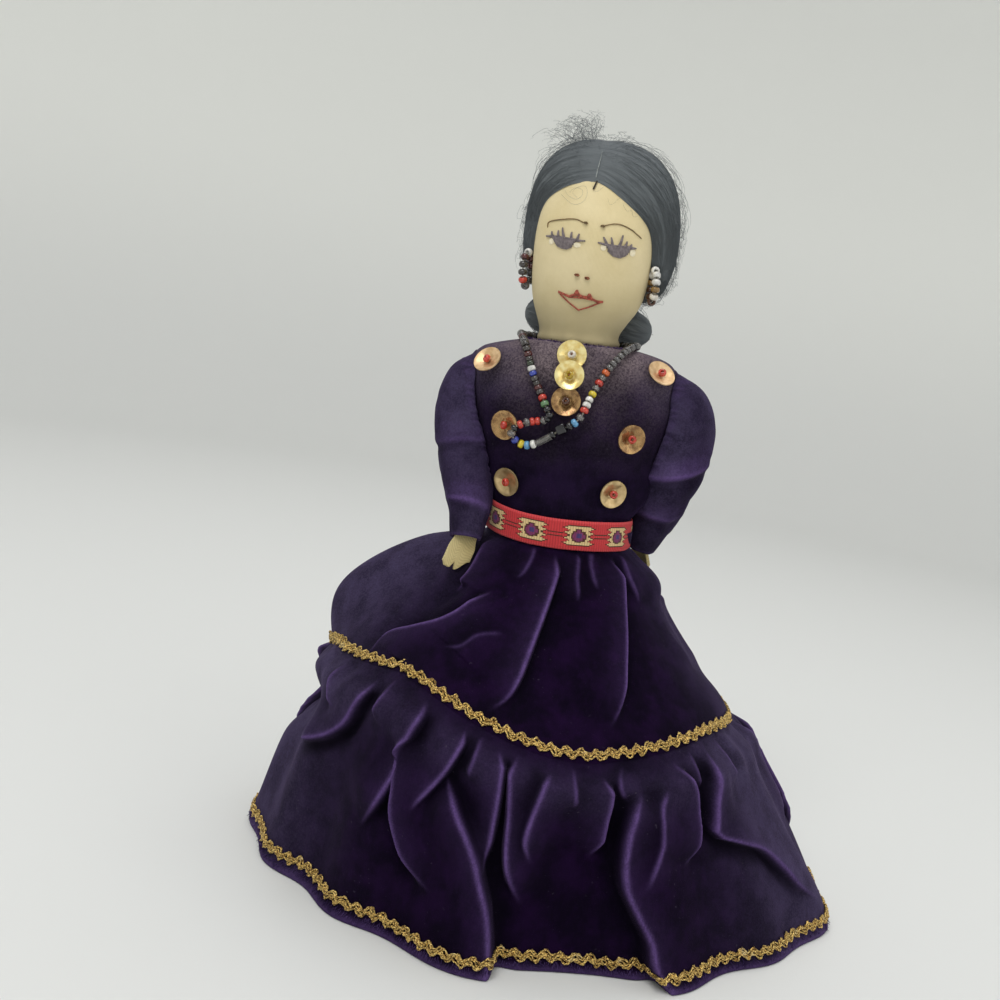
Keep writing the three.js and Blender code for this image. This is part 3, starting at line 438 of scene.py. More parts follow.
def foilFinish(name, dark, bright, rough, cover):
    made = Finish(name, {"Metallic": 0.6, "Coat Weight": 0.3, "Coat Roughness": 0.15, "Alpha": cover})
    worn = made.noise(made.coords(), 500, 3.0)
    made.put("Base Color", made.mix(worn.band(0.3, 0.7), rgb(*dark), rgb(*bright)))
    made.put("Roughness", rough + 0.1 * worn)
    made.bump(made.noise(made.coords(), 1600, 2.0), 0.04, 0.0002)
    return made.material


def beadFinish(name, colour, clear=0.0, rough=0.12):
    made = Finish(name, {"Transmission Weight": clear, "IOR": 1.5, "Coat Weight": 0.5,
                         "Coat Roughness": 0.05})
    swirl = made.noise(made.coords(), 650, 2.0)
    made.put("Base Color", made.mix(swirl.band(0.3, 0.75), rgb(*[v * 0.8 for v in colour]), rgb(*colour)))
    made.put("Roughness", rough + 0.1 * swirl)
    return made.material


def braidFinish(name):
    made = Finish(name, {"Specular IOR Level": 0.6})
    wrapGlint = made.noise(made.coords(), 2400, 2.0)
    patch = made.noise(made.coords(), 260, 2.0)
    # the fine wrap noise varies the metal's tone and paints shade between the threads and glints on them
    colour = made.mix(wrapGlint.band(0.38, 0.62), rgb(112, 78, 40), rgb(250, 218, 136))
    # pale, less metallic patches are painted glints
    made.put("Base Color", made.mix(patch.band(0.6, 0.8) * 0.6, colour, rgb(255, 240, 190)))
    made.put("Metallic", 0.85 - 0.35 * patch.band(0.62, 0.8))
    made.put("Roughness", 0.16 + 0.3 * wrapGlint)
    made.bump(wrapGlint, 0.7, 0.0004)
    return made.material


def ribbonFinish(name):
    made = Finish(name, {"Sheen Weight": 0.1, "Specular IOR Level": 0.3})
    woven = made.wire.node("Attribute", {"attribute_name": "weave"}, {}, "Color")
    across = made.wave(made.coords("UV"), "X", 56.0)
    slub = made.noise(made.coords(), 1500, 2.0)
    made.put("Base Color", made.mix(across.band(0.45, 0.0) * 0.3 + slub * 0.15, woven, rgb(96, 20, 26)))
    made.put("Roughness", 0.6 + 0.2 * slub)
    made.bump(across + slub * 0.5, 0.5, 0.0003)
    return made.material


def hideFinish(name):
    made = Finish(name, {"Specular IOR Level": 0.3})
    grain = made.wire.node("TexVoronoi", {}, {"Vector": made.coords(), "Scale": 700.0}, "Distance")
    patch = made.noise(made.coords(), 90, 3.0)
    made.put("Base Color", made.mix((patch * 0.7 + grain * 0.3).clear(), rgb(66, 40, 24), rgb(126, 84, 52)))
    made.put("Roughness", 0.55 + 0.25 * patch)
    made.bump(grain + patch, 0.4, 0.0004)
    return made.material


velvet = velvetFinish("purple velvet", velvetLook)
pileSheenVelvet = velvetFinish("velvet pile edge", pileSheenLook)
muslin = clothFinish("cream muslin", (222, 204, 156), (242, 226, 184), 95.0)
twill = clothFinish("tan twill", (176, 158, 106), (212, 196, 146), 4.6, True)
blackHair = hairFinish("black hair fibre")
yarn = threadFinish("white yarn", (226, 222, 210), 0.75)
partingThread = threadFinish("parting thread", (160, 166, 164), 0.7)
tackThread = threadFinish("dark tack thread", (64, 56, 48), 0.7)
browThread = threadFinish("brown thread", (142, 116, 78))
lashThread = threadFinish("grey mauve thread", (132, 122, 124), 0.7, 0.8)
whiteThread = threadFinish("white thread", (240, 229, 200), 0.8, 0.95)
noseThread = threadFinish("red brown thread", (150, 90, 60))
lipThread = threadFinish("red thread", (180, 92, 74), 0.7)
strandThread = threadFinish("bead thread", (170, 164, 150))
goldBraid = braidFinish("gold braid")
ribbon = ribbonFinish("red woven ribbon")
hide = hideFinish("brown hide")
foil = {"pale": foilFinish("pale gold foil", (232, 204, 124), (255, 240, 176), 0.16, 1.0),
        "warm": foilFinish("warm gold foil", (208, 170, 122), (236, 204, 158), 0.36, 1.0),
        "dull": foilFinish("dull gold foil", (184, 156, 106), (214, 186, 136), 0.2, 1.0),
        "champagne": foilFinish("champagne foil", (142, 102, 62), (206, 166, 110), 0.16, 0.72)}
glass = {"d": beadFinish("iris bead", (76, 70, 68), 0.25),
         "m": beadFinish("dark red bead", (92, 34, 32), 0.2),
         "g": beadFinish("moss bead", (56, 66, 48), 0.2),
         "W": beadFinish("white bead", (240, 238, 232)), "B": beadFinish("blue bead", (58, 74, 168)),
         "R": beadFinish("red bead", (206, 62, 46)), "G": beadFinish("green bead", (98, 136, 92)),
         "k": beadFinish("black bead", (24, 23, 28)),
         "c": beadFinish("clear bead", (196, 192, 188), 0.8),
         "Y": beadFinish("yellow bead", (232, 206, 48)),
         "L": beadFinish("sky blue bead", (104, 168, 214)),
         "O": beadFinish("orange bead", (222, 104, 44)),
         "s": beadFinish("smoke bead", (134, 130, 130), 0.5),
         "P": beadFinish("pearl bead", (236, 228, 214), 0.0, 0.2),
         "A": beadFinish("amber bead", (214, 178, 40), 0.3),
         "N": beadFinish("brown bead", (96, 58, 38), 0.2), "T": beadFinish("brass bead", (150, 116, 62))}
print("finishes mixed:", len(bpy.data.materials))


# bodice form, shared by blouse, belt, beads and sequins: (rise, half width, half depth)
bodice = smoothLine([(-8, 23.8, 16.4), (0, 23.8, 16.4), (5.2, 23.8, 16.4), (35, 34, 20), (50, 37.2, 17.6),
                     (60.5, 33.4, 15.8), (65, 16.95, 14.35)])


def bodicePoint(turn, rise, off=0.0):
    size = bodice(rise) + np.asarray(off, float)[..., None]
    return np.stack([size[..., 0] * np.sin(np.radians(turn)), -size[..., 1] * np.cos(np.radians(turn)),
                     rise + 0 * np.asarray(turn, float)], -1)


def bodiceSeat(turn, rise):  # a point of the bodice and the way it faces
    turn, rise = np.asarray(turn, float), np.asarray(rise, float)
    here = bodicePoint(turn, rise)
    out = np.cross(bodicePoint(turn + 0.1, rise) - here, bodicePoint(turn, rise + 0.05) - here)
    return here, unit(out)


def frontTurn(x, rise):
    return np.degrees(np.arcsin(np.asarray(x, float) / bodice(np.asarray(rise, float))[..., 0]))


# necklace: one strand, knotted behind the neck, its foot flopped to the doll's right
necklace = {
    # front: x, rise, lift off the bodice
    "front": [(-17.2, 61.6, .5), (-15.6, 58.2, 0), (-13.9, 53.6, 0), (-11.6, 49, 0), (-9.4, 45, .5),
              (-7.8, 42, 1), (-6.4, 39.6, 1), (-8.2, 38, 0), (-11.1, 37.5, 0), (-14, 36.6, 1.4),
              (-16.4, 35.2, 2.6), (-17.3, 33.1, 2.8), (-16.2, 30.8, 1.6), (-13.8, 29.4, .4),
              (-11, 29.9, 0), (-7.6, 31.8, 0), (-4.7, 34, 0), (-2, 36, .6), (1, 37.6, 1.4),
              (3.6, 40.3, 1.8), (5, 44.2, 1.8), (6.8, 48.8, .8), (8.7, 53, 0), (10.6, 56.6, 0),
              (13, 60, 0), (15.8, 62.4, .5)],
    "backTurns": (72, 105, 140, 176), "backTurnsRight": (184, 220, 255, 285), "backRise": 64.3,
    "standOff": 1.85, "thread": 0.3, "pitch": 2.15, "frontRun": 100.2,
    "bead": (1.5, 1.85, 0.42),  # radius, length, hole
    # colour and place of each bead along the front, from the doll's right shoulder
    "beads": "d0.4 d2.2 m4.1 d5.8 g7.4 W9.2 B11 d12.9 d14.6 m16.2 d17.9 R20 G22.4 k24.6 "
             "k26.6 k28.2 c29.9 R31.9 R33.8 c35.7 R38 k40.3 c42.4 B45.2 Y47.7 L49.8 W52 "
             "k59.6 k66.2 L68.2 c70.8 R73.6 W75.6 W77.7 Y80 c82.4 R84.6 c86.7 O88.8 "
             "s90.9 s92.8 s94.7 s96.6 s98.4",
    "backBeads": "sdskdsdmsdgskd",
    "bugle": (56.0, 5.6, 1.25), "cube": (63.2, 3.4)}  # place, length, and the bugle's radius


def strandPoints():
    rows = [(turn, necklace["backRise"], 0) for turn in necklace["backTurnsRight"]]
    rows += [(float(frontTurn(x, rise)), rise, lift) for x, rise, lift in necklace["front"]]
    rows += [(turn, necklace["backRise"], 0) for turn in necklace["backTurns"]]
    here, out = bodiceSeat([row[0] for row in rows], [row[1] for row in rows])
    return here + out * (necklace["standOff"] + np.array([[row[2]] for row in rows]))


strand = through(strandPoints(), 700)
strandRun = runOf(strand)
frontStart = strandRun[np.argmin(np.linalg.norm(strand - strandPoints()[len(necklace["backTurnsRight"])],
                                                axis=1))]
strandOut = onBody(strand)


def strandAt(run):
    here = sampled(run, strandRun, strandOut)
    ahead = sampled(run + 0.3, strandRun, strandOut)
    return here, ahead - here if run < strandRun[-1] - 0.4 else strandOut[-1] - strandOut[-3]


def beadWord(colour):
    return glass[colour].name.replace(" bead", "").replace(" ", "_")


def seedBead(radius, length, hole):
    bpy.ops.object.select_all(action="DESELECT")
    thick = (radius - hole) / 2
    bpy.ops.mesh.primitive_torus_add(major_segments=12, minor_segments=8,
                                     major_radius=(hole + thick) / 1000, minor_radius=thick / 1000)
    bead = named("bead", glass["W"])
    bpy.ops.object.mode_set(mode="EDIT")
    bpy.ops.transform.resize(value=(1, 1, length / (2 * thick)))  # drawn out to a little barrel
    bpy.ops.object.mode_set(mode="OBJECT")
    bpy.ops.object.shade_smooth()
    return bead


bead = seedBead(*necklace["bead"])
beadRuns = {}
for mark in necklace["beads"].split():
    beadRuns.setdefault(mark[0], []).append(frontStart + float(mark[1:]))
frontEnd = frontStart + necklace["frontRun"]
backRuns = list(np.arange(frontEnd, strandRun[-1] - 1.2, necklace["pitch"]))
backRuns += list(np.arange(frontStart - 1.8, 1.2, -necklace["pitch"]))
for count, run in enumerate(backRuns):
    beadRuns.setdefault(necklace["backBeads"][count % len(necklace["backBeads"])], []).append(run)
rng = np.random.default_rng(5)
necklaceBeads = []
for colour, runs in beadRuns.items():
    places = [facing(*strandAt(run), rng.uniform(0.9, 1.04), rng.uniform(0, 6)) for run in runs]
    necklaceBeads.append(copies("necklace_beads_" + beadWord(colour), glass[colour], bead, places))


def bugleBead():
    at, size, radius = necklace["bugle"]
    bpy.ops.object.select_all(action="DESELECT")
    bpy.ops.mesh.primitive_cylinder_add(vertices=6, radius=radius / 1000, depth=size / 1000,
                                        end_fill_type="NGON")
    tube = named("necklace_bugle", glass["c"])
    modified(tube, "BEVEL", width=0.00025, segments=2)
    tube.data.transform(facing(*strandAt(frontStart + at)))
    return tube


def cubeBead():
    at, size = necklace["cube"]
    bpy.ops.object.select_all(action="DESELECT")
    bpy.ops.mesh.primitive_cube_add(size=size / 1000)
    cube = named("necklace_cube_bead", glass["k"])
    modified(cube, "BEVEL", width=0.0007, segments=3)
    smoothed(cube)
    cube.data.transform(facing(*strandAt(frontStart + at)))
    return cube


def knotPiece(name, material, point, size):
    # a small overhand knot: three turns of thread wound on each other
    t = np.linspace(0, 1, 90) * 2 * math.pi * 3
    path = np.stack([np.cos(t) * (1 + 0.45 * np.cos(t * 2 / 3)),
                     np.sin(t) * (1 + 0.45 * np.cos(t * 2 / 3)), 0.6 * np.sin(t * 2 / 3)], -1)
    return strung(name, material, [np.asarray(point) + path * size], size * 0.42, 1)


necklaceThread = threadCurve("necklace_thread", [strandOut[::4]], necklace["thread"], 1)
necklaceThread.data.materials.append(strandThread)
knot = knotPiece("necklace_knot", strandThread, (strandOut[0] + strandOut[-1]) / 2, 0.8)
onStrand = necklaceBeads + [bugleBead(), cubeBead(), knot]
settled(necklaceThread, "dress", "mixed_glass", "necklace")
for piece in onStrand:
    settled(piece, "dress", "mixed_glass")
print("necklace strung:", round(float(strandRun[-1]), 1), "mm,",
      sum(len(runs) for runs in beadRuns.values()), "beads")


# skirt: two gathered tiers of velvet
skirt = {
    "seamHeight": 66.7, "waistRise": -5.2, "waistOff": 1.75,
    "seamReach": {"front": 74, "back": 62, "left": 73, "right": 75},
    "hemReach": {"front": 84, "back": 76, "left": 120, "right": 94},
    "puff": (255, 34), "lobe": (264, 18, 7.5), "gather": (0.11, 2.2), "hemTurn": 0.04,
    "upperSpan": (-0.12, 1.0), "upperGrid": (760, 116), "lowerTop": -0.03, "lowerGrid": (800, 118),
    # how far the seam rises, by turn
    "seamLift": [(-200, 0), (-110, 0), (-92, 1), (-76, 6), (-60, 8.3), (-44, 10.8), (-36, 12),
                 (-28, 10.5), (-12, 5), (4, .3), (16, -1.2), (28, 0), (44, 2), (60, 3.4), (76, 2),
                 (90, 0), (200, 0)],
    # fuller and flatter places: turn, its width, share of the drop, its width, height
    "upperSwells": [(88, 34, .17, .13, 6), (80, 28, .87, .12, 3.5)],
    "lowerSwells": [(-90, 22, .29, .12, -9), (-46, 18, .85, .3, -5.5), (80, 18, .9, .3, 4.5)],
    # half girth for a radian at the top and the foot, and the length, of each tier laid flat
    "upperCloth": (23.8, 74, 73.4), "lowerCloth": (74, 94, 69.6),
    "upperFolds": [(-62, 12, 1.2), (-32, 12, 1.8), (-7, 10, 1.6), (19, 11, 1.8), (47, 12, 1.5),
                   (76, 12, 2), (116, 13, 3), (146, 13, 4.5), (176, 13, 4.5), (209, 13, 4.5),
                   (241, 12, 4), (268, 11, 3.5)],
    "lowerFolds": [(-82, 9, 5), (-58, 10, 5.6), (-33, 10, 5.6), (-6, 11, 7.4), (30, 9, 6), (53, 9, 4.6),
                   (77, 10, 5), (103, 11, 8), (130, 11, 8), (157, 11, 8), (184, 11, 8), (211, 11, 8),
                   (237, 10, 6.5), (259, 9, 5)],
    # creases: (turn, share of the drop) points, height, soft side's width,
    # steep side (1 left, -1 right, 0 none)
    "upperCreases": [
        ([(1.5, .03), (-.8, .225), (-3.5, .467), (-5.5, .725), (-6.5, .825), (-9.8, .925)], 4.6, 14, 1),
        ([(45, .03), (38.8, .22), (32.8, .467), (28.8, .66), (26.8, .78), (23.8, .87)], 4.6, 14, 1),
        ([(-25.5, .34), (-27.8, .45), (-30.8, .54), (-35.5, .63), (-42.5, .70), (-49, .76), (-52.5, .85),
          (-52, .97)], 5.2, 13, -1),
        ([(-41.5, .33), (-49.8, .57), (-54, .8), (-56.2, .93)], -3.4, 6, 0),
        ([(76.8, .57), (57, .675), (47.2, .75)], 1.6, 7, 0),
        ([(-12, .51), (-19.8, .58), (-24, .69), (-30, .75)], 0.7, 4, -1),
        ([(-56.5, .015), (-44, .29), (-47.5, .45)], 1.8, 6, -1),
        ([(18, .02), (15, .14), (16, .27)], 1.0, 3, 1), ([(30, .01), (26, .1), (27, .2)], 0.9, 3, -1),
        ([(-16, .01), (-14, .12), (-17, .22)], 1.0, 3, 1), ([(58, .02), (54, .16), (55, .3)], 1.2, 4, -1),
        ([(100, .26), (104, .55), (102, .84)], 3.2, 9, 1), ([(122, .26), (119, .5), (121, .8)], 2.8, 8, -1),
        ([(143, .05), (148, .45), (146, .82)], 3.6, 9, 1), ([(166, .04), (163, .4), (165, .66)], 3, 8, -1),
        ([(187, .05), (190, .5), (186, .84)], 3.6, 9, 1), ([(209, .04), (205, .35), (208, .7)], 2.8, 8, -1),
        ([(228, .05), (231, .4), (229, .75)], 3.2, 9, 1),
        ([(247, .06), (244, .45), (240, .8)], 3.4, 9, -1)],
    "lowerCreases": [
        ([(-41, .03), (-42, .09), (-43.8, .158), (-46.8, .25), (-52.8, .333), (-66, .42)], 4.4, 9, 1),
        ([(-24.6, 0), (-25, .07), (-26.5, .183), (-27.8, .33), (-29.2, .45), (-30.5, .54), (-32, .617)],
         4.4, 10, 1),
        ([(-27, .16), (-24.8, .35), (-23.2, .47), (-20, .583), (-15.8, .667), (-11.5, .72)], 4.4, 9, -1),
        ([(-13, .02), (-13.5, .08), (-15.8, .217), (-19, .35), (-20.5, .45)], 3.4, 6, 1),
        ([(-15.5, .237), (-11, .342), (-7, .438), (-4.2, .575), (-1.5, .738), (0, .95), (0, 1.1)], 5.6,
         12, 1),
        ([(-4, .03), (-3.5, .217), (-3.5, .412), (-3.7, .571)], 3.4, 7, 1),
        ([(0, .02), (1.5, .275), (2.2, .475), (4, .65), (5.2, .708)], 3.8, 8, -1),
        ([(8.2, .04), (6.5, .179), (5, .358), (5.5, .496)], 3.4, 7, -1),
        ([(20, .04), (19, .163), (17.8, .342), (16.5, .45)], 3.8, 8, 1),
        ([(28.5, .11), (25.8, .233), (24, .383), (23.5, .533), (25, .654), (26.8, .78), (27.2, .9),
          (29, .98), (29.4, 1.1)], 5.6, 12, -1),
        ([(34.5, .11), (31.5, .225), (30.2, .35), (27.5, .47), (25.5, .56)], 1.8, 4, -1),
        ([(40, .03), (41, .183), (40, .312), (37.2, .43), (35.2, .49)], 4.2, 8, 1),
        ([(55, 0), (53.5, .033), (50.8, .138), (47.5, .317), (46.5, .362), (52.2, .412), (62.2, .512),
          (67.2, .625), (70.2, .725), (77, .85)], 4.6, 9, -1),
        ([(-58, .03), (-57, .08), (-55, .142), (-51, .212)], 2.0, 5, -1),
        ([(62, .02), (60, .1), (61, .2)], 1.6, 4, 1), ([(-36, .02), (-35, .09), (-37, .18)], 1.6, 4, -1),
        ([(13.5, .02), (12.5, .1), (13, .19)], 1.4, 4, 1), ([(26, .01), (24, .08), (25, .16)], 1.4, 3, -1),
        ([(-9, .02), (-8.5, .1), (-9.5, .2)], 1.4, 3, -1), ([(48, .02), (46, .1), (47, .18)], 1.4, 3, 1),
        ([(92, .02), (95, .3), (93, .62)], 3.4, 8, 1), ([(106, .02), (103, .35), (106, .8)], 4.2, 9, -1),
        ([(119, .02), (122, .3), (121, .55)], 3, 7, 1), ([(133, .02), (130, .4), (134, .85)], 4.4, 9, -1),
        ([(147, .02), (149, .3), (146, .6)], 3.2, 8, 1), ([(160, .02), (163, .4), (161, .78)], 4, 9, 1),
        ([(173, .02), (170, .3), (172, .55)], 3, 7, -1), ([(187, .02), (190, .45), (187, .85)], 4.4, 9, 1),
        ([(201, .02), (198, .3), (200, .6)], 3.2, 8, -1),
        ([(214, .02), (217, .35), (215, .75)], 3.8, 9, -1),
        ([(228, .02), (225, .4), (229, .82)], 4.2, 9, 1), ([(243, .02), (246, .3), (243, .55)], 3, 7, -1),
        ([(257, .02), (254, .35), (258, .7)], 3.6, 8, 1)]}


def bump(turn, at, width):
    return bell((turn - at + 180) % 360 - 180, width)


def foldAt(folds, turn):
    return sum(depth * (bump(turn, at, width) - width * math.sqrt(math.pi) / 360)
               for at, width, depth in folds)


def reachAt(reach, turn, height):
    t = np.radians(turn)
    return np.stack([np.where(np.sin(t) > 0, reach["left"], reach["right"]) * np.sin(t),
                     -np.where(np.cos(t) > 0, reach["front"], reach["back"]) * np.cos(t),
                     height + 0 * t], -1)


seamLine = smoothLine(skirt["seamLift"])


def seamAt(turn, height):
    lift = seamLine((turn + 180) % 360 - 180)[..., 0]
    place = reachAt(skirt["seamReach"], turn, height + lift)
    place[..., :2] *= (1 - 0.006 * lift)[..., None]
    return place


def swellAt(swells, turn, drop):
    return sum(high * bump(turn, at, wide) * bell(drop - level, tall)
               for at, wide, level, tall, high in swells)


def creaseRelief(turn, drop, lines, cloth):
    # height, sideways lean, painted crest highlight and painted hollow shade of sharp folds, measured on
    # the cloth laid flat
    top, foot, length = cloth
    height, lean, crest, hollow_shade = (np.zeros_like(turn) for _ in range(4))
    for points, depth, width, steep in lines:
        middle = (points[0][0] + points[-1][0]) / 2
        flat = lambda t, d: np.stack([np.radians((t - middle + 180) % 360 - 180)
                                      * (top + (foot - top) * d), d * length], -1)
        path = through(flat(*np.array(points, float).T), 26)
        run = runOf(path)
        here = flat(turn, drop)
        near = (np.abs(here[:, 0]) < np.abs(path[:, 0]).max() + 3 * width).nonzero()[0]
        x, y = here[near].T
        gap, side, along = np.full_like(x, 1e9), np.zeros_like(x), np.zeros_like(x)
        for k in range(len(path) - 1):
            step = path[k + 1] - path[k]
            size = np.hypot(*step)
            share = np.clip(((x - path[k, 0]) * step[0] + (y - path[k, 1]) * step[1]) / size**2, 0, 1)
            dx, dy = x - path[k, 0] - share * step[0], y - path[k, 1] - share * step[1]
            away = np.hypot(dx, dy)
            closer = away < gap
            gap = np.where(closer, away, gap)
            side = np.where(closer, np.sign(step[1] * dx - step[0] * dy), side)
            along = np.where(closer, run[k] + share * size, along)
        share = along / run[-1]
        fade = ease(share, 0, 0.12) * (1 if points[-1][1] > 1 else 1 - ease(share, 0.7, 1))
        if not steep:
            height[near] += depth * bell(gap, width) * fade
            continue
        over = side * steep > 0  # on the side that the fold hangs over
        height[near] += depth * fade * np.where(over, bell(gap, 1.3) - 0.3 * bell(gap - 4, 3),
                                                np.exp(-((gap / width) ** 1.35)))
        lean[near] += steep * min(depth * 0.55, 2.4) * bell(gap, 2.3) * fade
        # painted highlight: a thin line on the crest and a faint tail down the soft side
        edge = bell(gap, 0.6) + np.where(over, 0, 0.16 * np.exp(-gap / 3.0))
        crest[near] += fade * min(1, depth / 2.6) * edge
        # painted shade in the hollow under the fold's overhang
        hollow_shade[near] += fade * min(1, depth / 3) * np.where(over, bell(gap - 3, 3.2), 0)
    return height, lean, np.clip(crest, 0, 1), np.clip(hollow_shade, 0, 1)


def upperTier(turn, drop):
    waist = onBody(bodicePoint(turn, 0 * turn, skirt["waistOff"]) + np.array([0, 0, skirt["waistRise"]]))
    seam = seamAt(turn, skirt["seamHeight"])
    held = np.clip(drop, 0, 1)
    spread = held + (np.sin(held * math.pi / 2) ** 0.6 - held) * bump(turn, *skirt["puff"])
    place = waist + (seam - waist) * spread[..., None]
    place[..., 2] = waist[..., 2] + (seam[..., 2] - waist[..., 2]) * drop
    height, lean, crest, hollow_shade = creaseRelief(turn, drop, skirt["upperCreases"], skirt["upperCloth"])
    at, wide, deep = skirt["lobe"]
    swell = np.sin(math.pi * held)
    out = (foldAt(skirt["upperFolds"], turn) + deep * bump(turn, at, wide)) * swell
    out = out + height + swellAt(skirt["upperSwells"], turn, held)
    # gathers below the belt
    out = out + 0.8 * wander(3, turn, drop * 6, 34) * np.exp(-held / 0.12) * ease(held, 0, 0.03)
    out = out + 0.4 * wander(4, turn, drop * 14, 16) * swell
    place = place + outward(turn) * out[..., None] + sideways(turn) * lean[..., None]
    # painted sheen on the sides and back of the tier, where light grazes it
    haze = 0.9 * bump(turn, -92, 34) + 0.45 * bump(turn, 88, 26) + 0.3 * bump(turn, 180, 60)
    return place, {"crest": crest, "hollow_shade": hollow_shade, "haze": np.clip(haze, 0, 1)}


def lowerTier(turn, drop):
    top = skirt["seamHeight"] - 0.35
    held = np.clip(drop, 0, 1)
    seam = seamAt(turn, top)
    hem = reachAt(skirt["hemReach"], turn, 0)
    place = seam + (hem - seam) * (held**0.8)[..., None]
    under = np.clip((drop - 1) / skirt["hemTurn"], 0, 1)  # the hem is turned in
    place[..., 2] = 0.3 + (seam[..., 2] - 0.3) * (1 - np.minimum(drop, 1))
    place[..., 2] += 2.0 * (1 - np.cos(under * math.pi / 2))
    height, lean, crest, hollow_shade = creaseRelief(turn, held, skirt["lowerCreases"], skirt["lowerCloth"])
    out = foldAt(skirt["lowerFolds"], turn) * np.sin(np.minimum(held * 1.6, 1) * math.pi / 2)
    out = out + swellAt(skirt["lowerSwells"], turn, held)
    rising = ease(held, 0, 0.1)
    at, deep = skirt["gather"]
    out = out + (height + deep * bell(held - at, 0.1)) * rising
    # gathers below the seam
    out = out + 1.9 * wander(7, turn, drop * 5, 46) * np.exp(-held / 0.17) * ease(held, 0.0, 0.04)
    out = out + 0.45 * wander(8, turn, drop * 12, 20) * rising
    out = out - 2.0 * ease(-drop, 0, 0.03) - 1.4 * np.sin(under * math.pi / 2)
    place = place + outward(turn) * out[..., None] + sideways(turn) * (lean * rising)[..., None]
    raw = 0.45 * ease(held, 0.955, 0.99)  # the pile opens at the cut edge, drawn lighter with the painted crest highlight
    # painted sheen on the flared sides and the back, where light grazes them, and just below the seam
    haze = 0.9 * bump(turn, -80, 30) + 0.9 * bump(turn, 76, 24)
    haze = haze + 0.3 * bump(turn, 180, 60) + 0.3 * bump(held * 100, 12, 10)
    return place, {"crest": np.clip(crest * rising + raw, 0, 1), "hollow_shade": hollow_shade * rising,
                   "haze": np.clip(haze, 0, 1)}


def tierSheet(name, node, tier, low, high, grid):
    def laid(u, v):
        spread = u * 360 - 180
        turn = spread - 0.45 * np.degrees(np.sin(np.radians(spread)))  # finer at the front
        return tier(turn, low + (high - low) * (1 - v))
    piece = clothGrid(name, velvet, grid, laid, (0, 0, 90))
    return settled(piece, "dress", "purple_velvet", node)


skirtUpper = tierSheet("skirt_upper", "skirt_upper_tier", upperTier, *skirt["upperSpan"],
                       skirt["upperGrid"])
skirtLower = tierSheet("skirt_lower", "skirt_lower_tier", lowerTier, skirt["lowerTop"],
                       1.0 + skirt["hemTurn"], skirt["lowerGrid"])
print("skirt gathered")


# gold braid along a line of the skirt: four two-ply metal threads that wave side by side
braid = {"pitch": 4.8, "swing": 0.72, "apart": 0.7, "ply": 0.24, "wind": 0.21, "twist": 2.5, "stand": 0.7,
         "seamDrop": 0.965, "hemDrop": 0.925}


def braidPiece(name, node, tier, drop):
    turns = np.linspace(-180, 180, 2400)
    line, below = (tier(turns, np.full_like(turns, share))[0] for share in (drop, drop + 0.012))
    run = runOf(line)
    count = round(run[-1] / braid["pitch"])
    even = np.linspace(0, run[-1], count * 20 + 1)
    line, below = sampled(even, run, line), sampled(even, run, below)
    down, ahead = unit(below - line), unit(np.gradient(line, axis=0))
    out = unit(np.cross(down, ahead))
    out *= np.sign((out * (line - (0, 0, 90)))[:, :2].sum(1))[:, None]
    phase = even / run[-1] * count * 2 * math.pi
    uneven = 1 + 0.18 * np.sin(phase * 0.23) + 0.12 * np.sin(phase * 0.61 + 1)
    paths = []
    for strand in (-1.5, -0.5, 0.5, 1.5):
        zigzag = braid["swing"] * uneven * np.sin(phase + 0.25 * strand) + strand * braid["apart"]
        zigzag = zigzag + 0.22 * np.sin(phase * 0.37 + strand * 2) + 0.16 * np.sin(phase * 2.3 + strand * 4)
        height = braid["stand"] + 0.2 * np.cos(phase * 2 + strand * 2.1) - 0.1 * abs(strand)
        for ply in (0, math.pi):
            wind = even / braid["twist"] * 2 * math.pi + ply + strand
            paths.append(line + down * (zigzag + braid["wind"] * np.cos(wind))[:, None]
                         + out * (height + braid["wind"] * np.sin(wind))[:, None])
    piece = strung(name, goldBraid, paths, braid["ply"], 0)
    return settled(piece, "dress", "gold_braid", node)


braidPiece("braid_seam", "seam_braid", upperTier, braid["seamDrop"])
braidPiece("braid_hem", "hem_braid", lowerTier, braid["hemDrop"])
print("braid sewn")


# loose pile along raw velvet edges
pile = {"hem": 2600, "neck": 700, "radius": 0.14}


def pileEdge(name, body, roots, outs, falls, length, seed):
    rng = np.random.default_rng(seed)
    paths = []
    for root, out, fall in zip(roots, outs, falls):
        tip = root + (out * rng.uniform(0.25, 0.9) + fall * rng.uniform(0.4, 1.0)
                      + rng.normal(0, 0.15, 3)) * length * rng.uniform(0.6, 1.1)
        paths.append(np.array([root, root * 0.45 + tip * 0.55 + out * 0.08 * length, tip]))
    piece = strung(name, pileSheenVelvet, paths, pile["radius"], 0, [(0, 1.0), (0.6, 0.8), (1, 0.15)])
    return settled(piece, body, "purple_velvet")


def hemPile():
    rng = np.random.default_rng(21)
    turns = np.sort(rng.uniform(-180, 180, pile["hem"]))
    place = lowerTier(turns, rng.uniform(0.945, 0.975, pile["hem"]))[0]
    out = outward(turns)
    fall = np.tile((0, 0, -0.75), (pile["hem"], 1))
    return pileEdge("hem_pile", "dress", place - out * 0.2, out, fall, 1.7, 22)


hemPile()


# blouse, torso and belt
blouse = {"grid": (260, 130), "low": -9.0, "top": 65.0, "bulge": 4.4, "shoulder": 0.6,
          # how worn the velvet is, by rise
          "worn": [(20, 0), (33, .05), (38, .1), (43, .18), (48, .3), (53, .6), (58, .85), (66, .95)]}


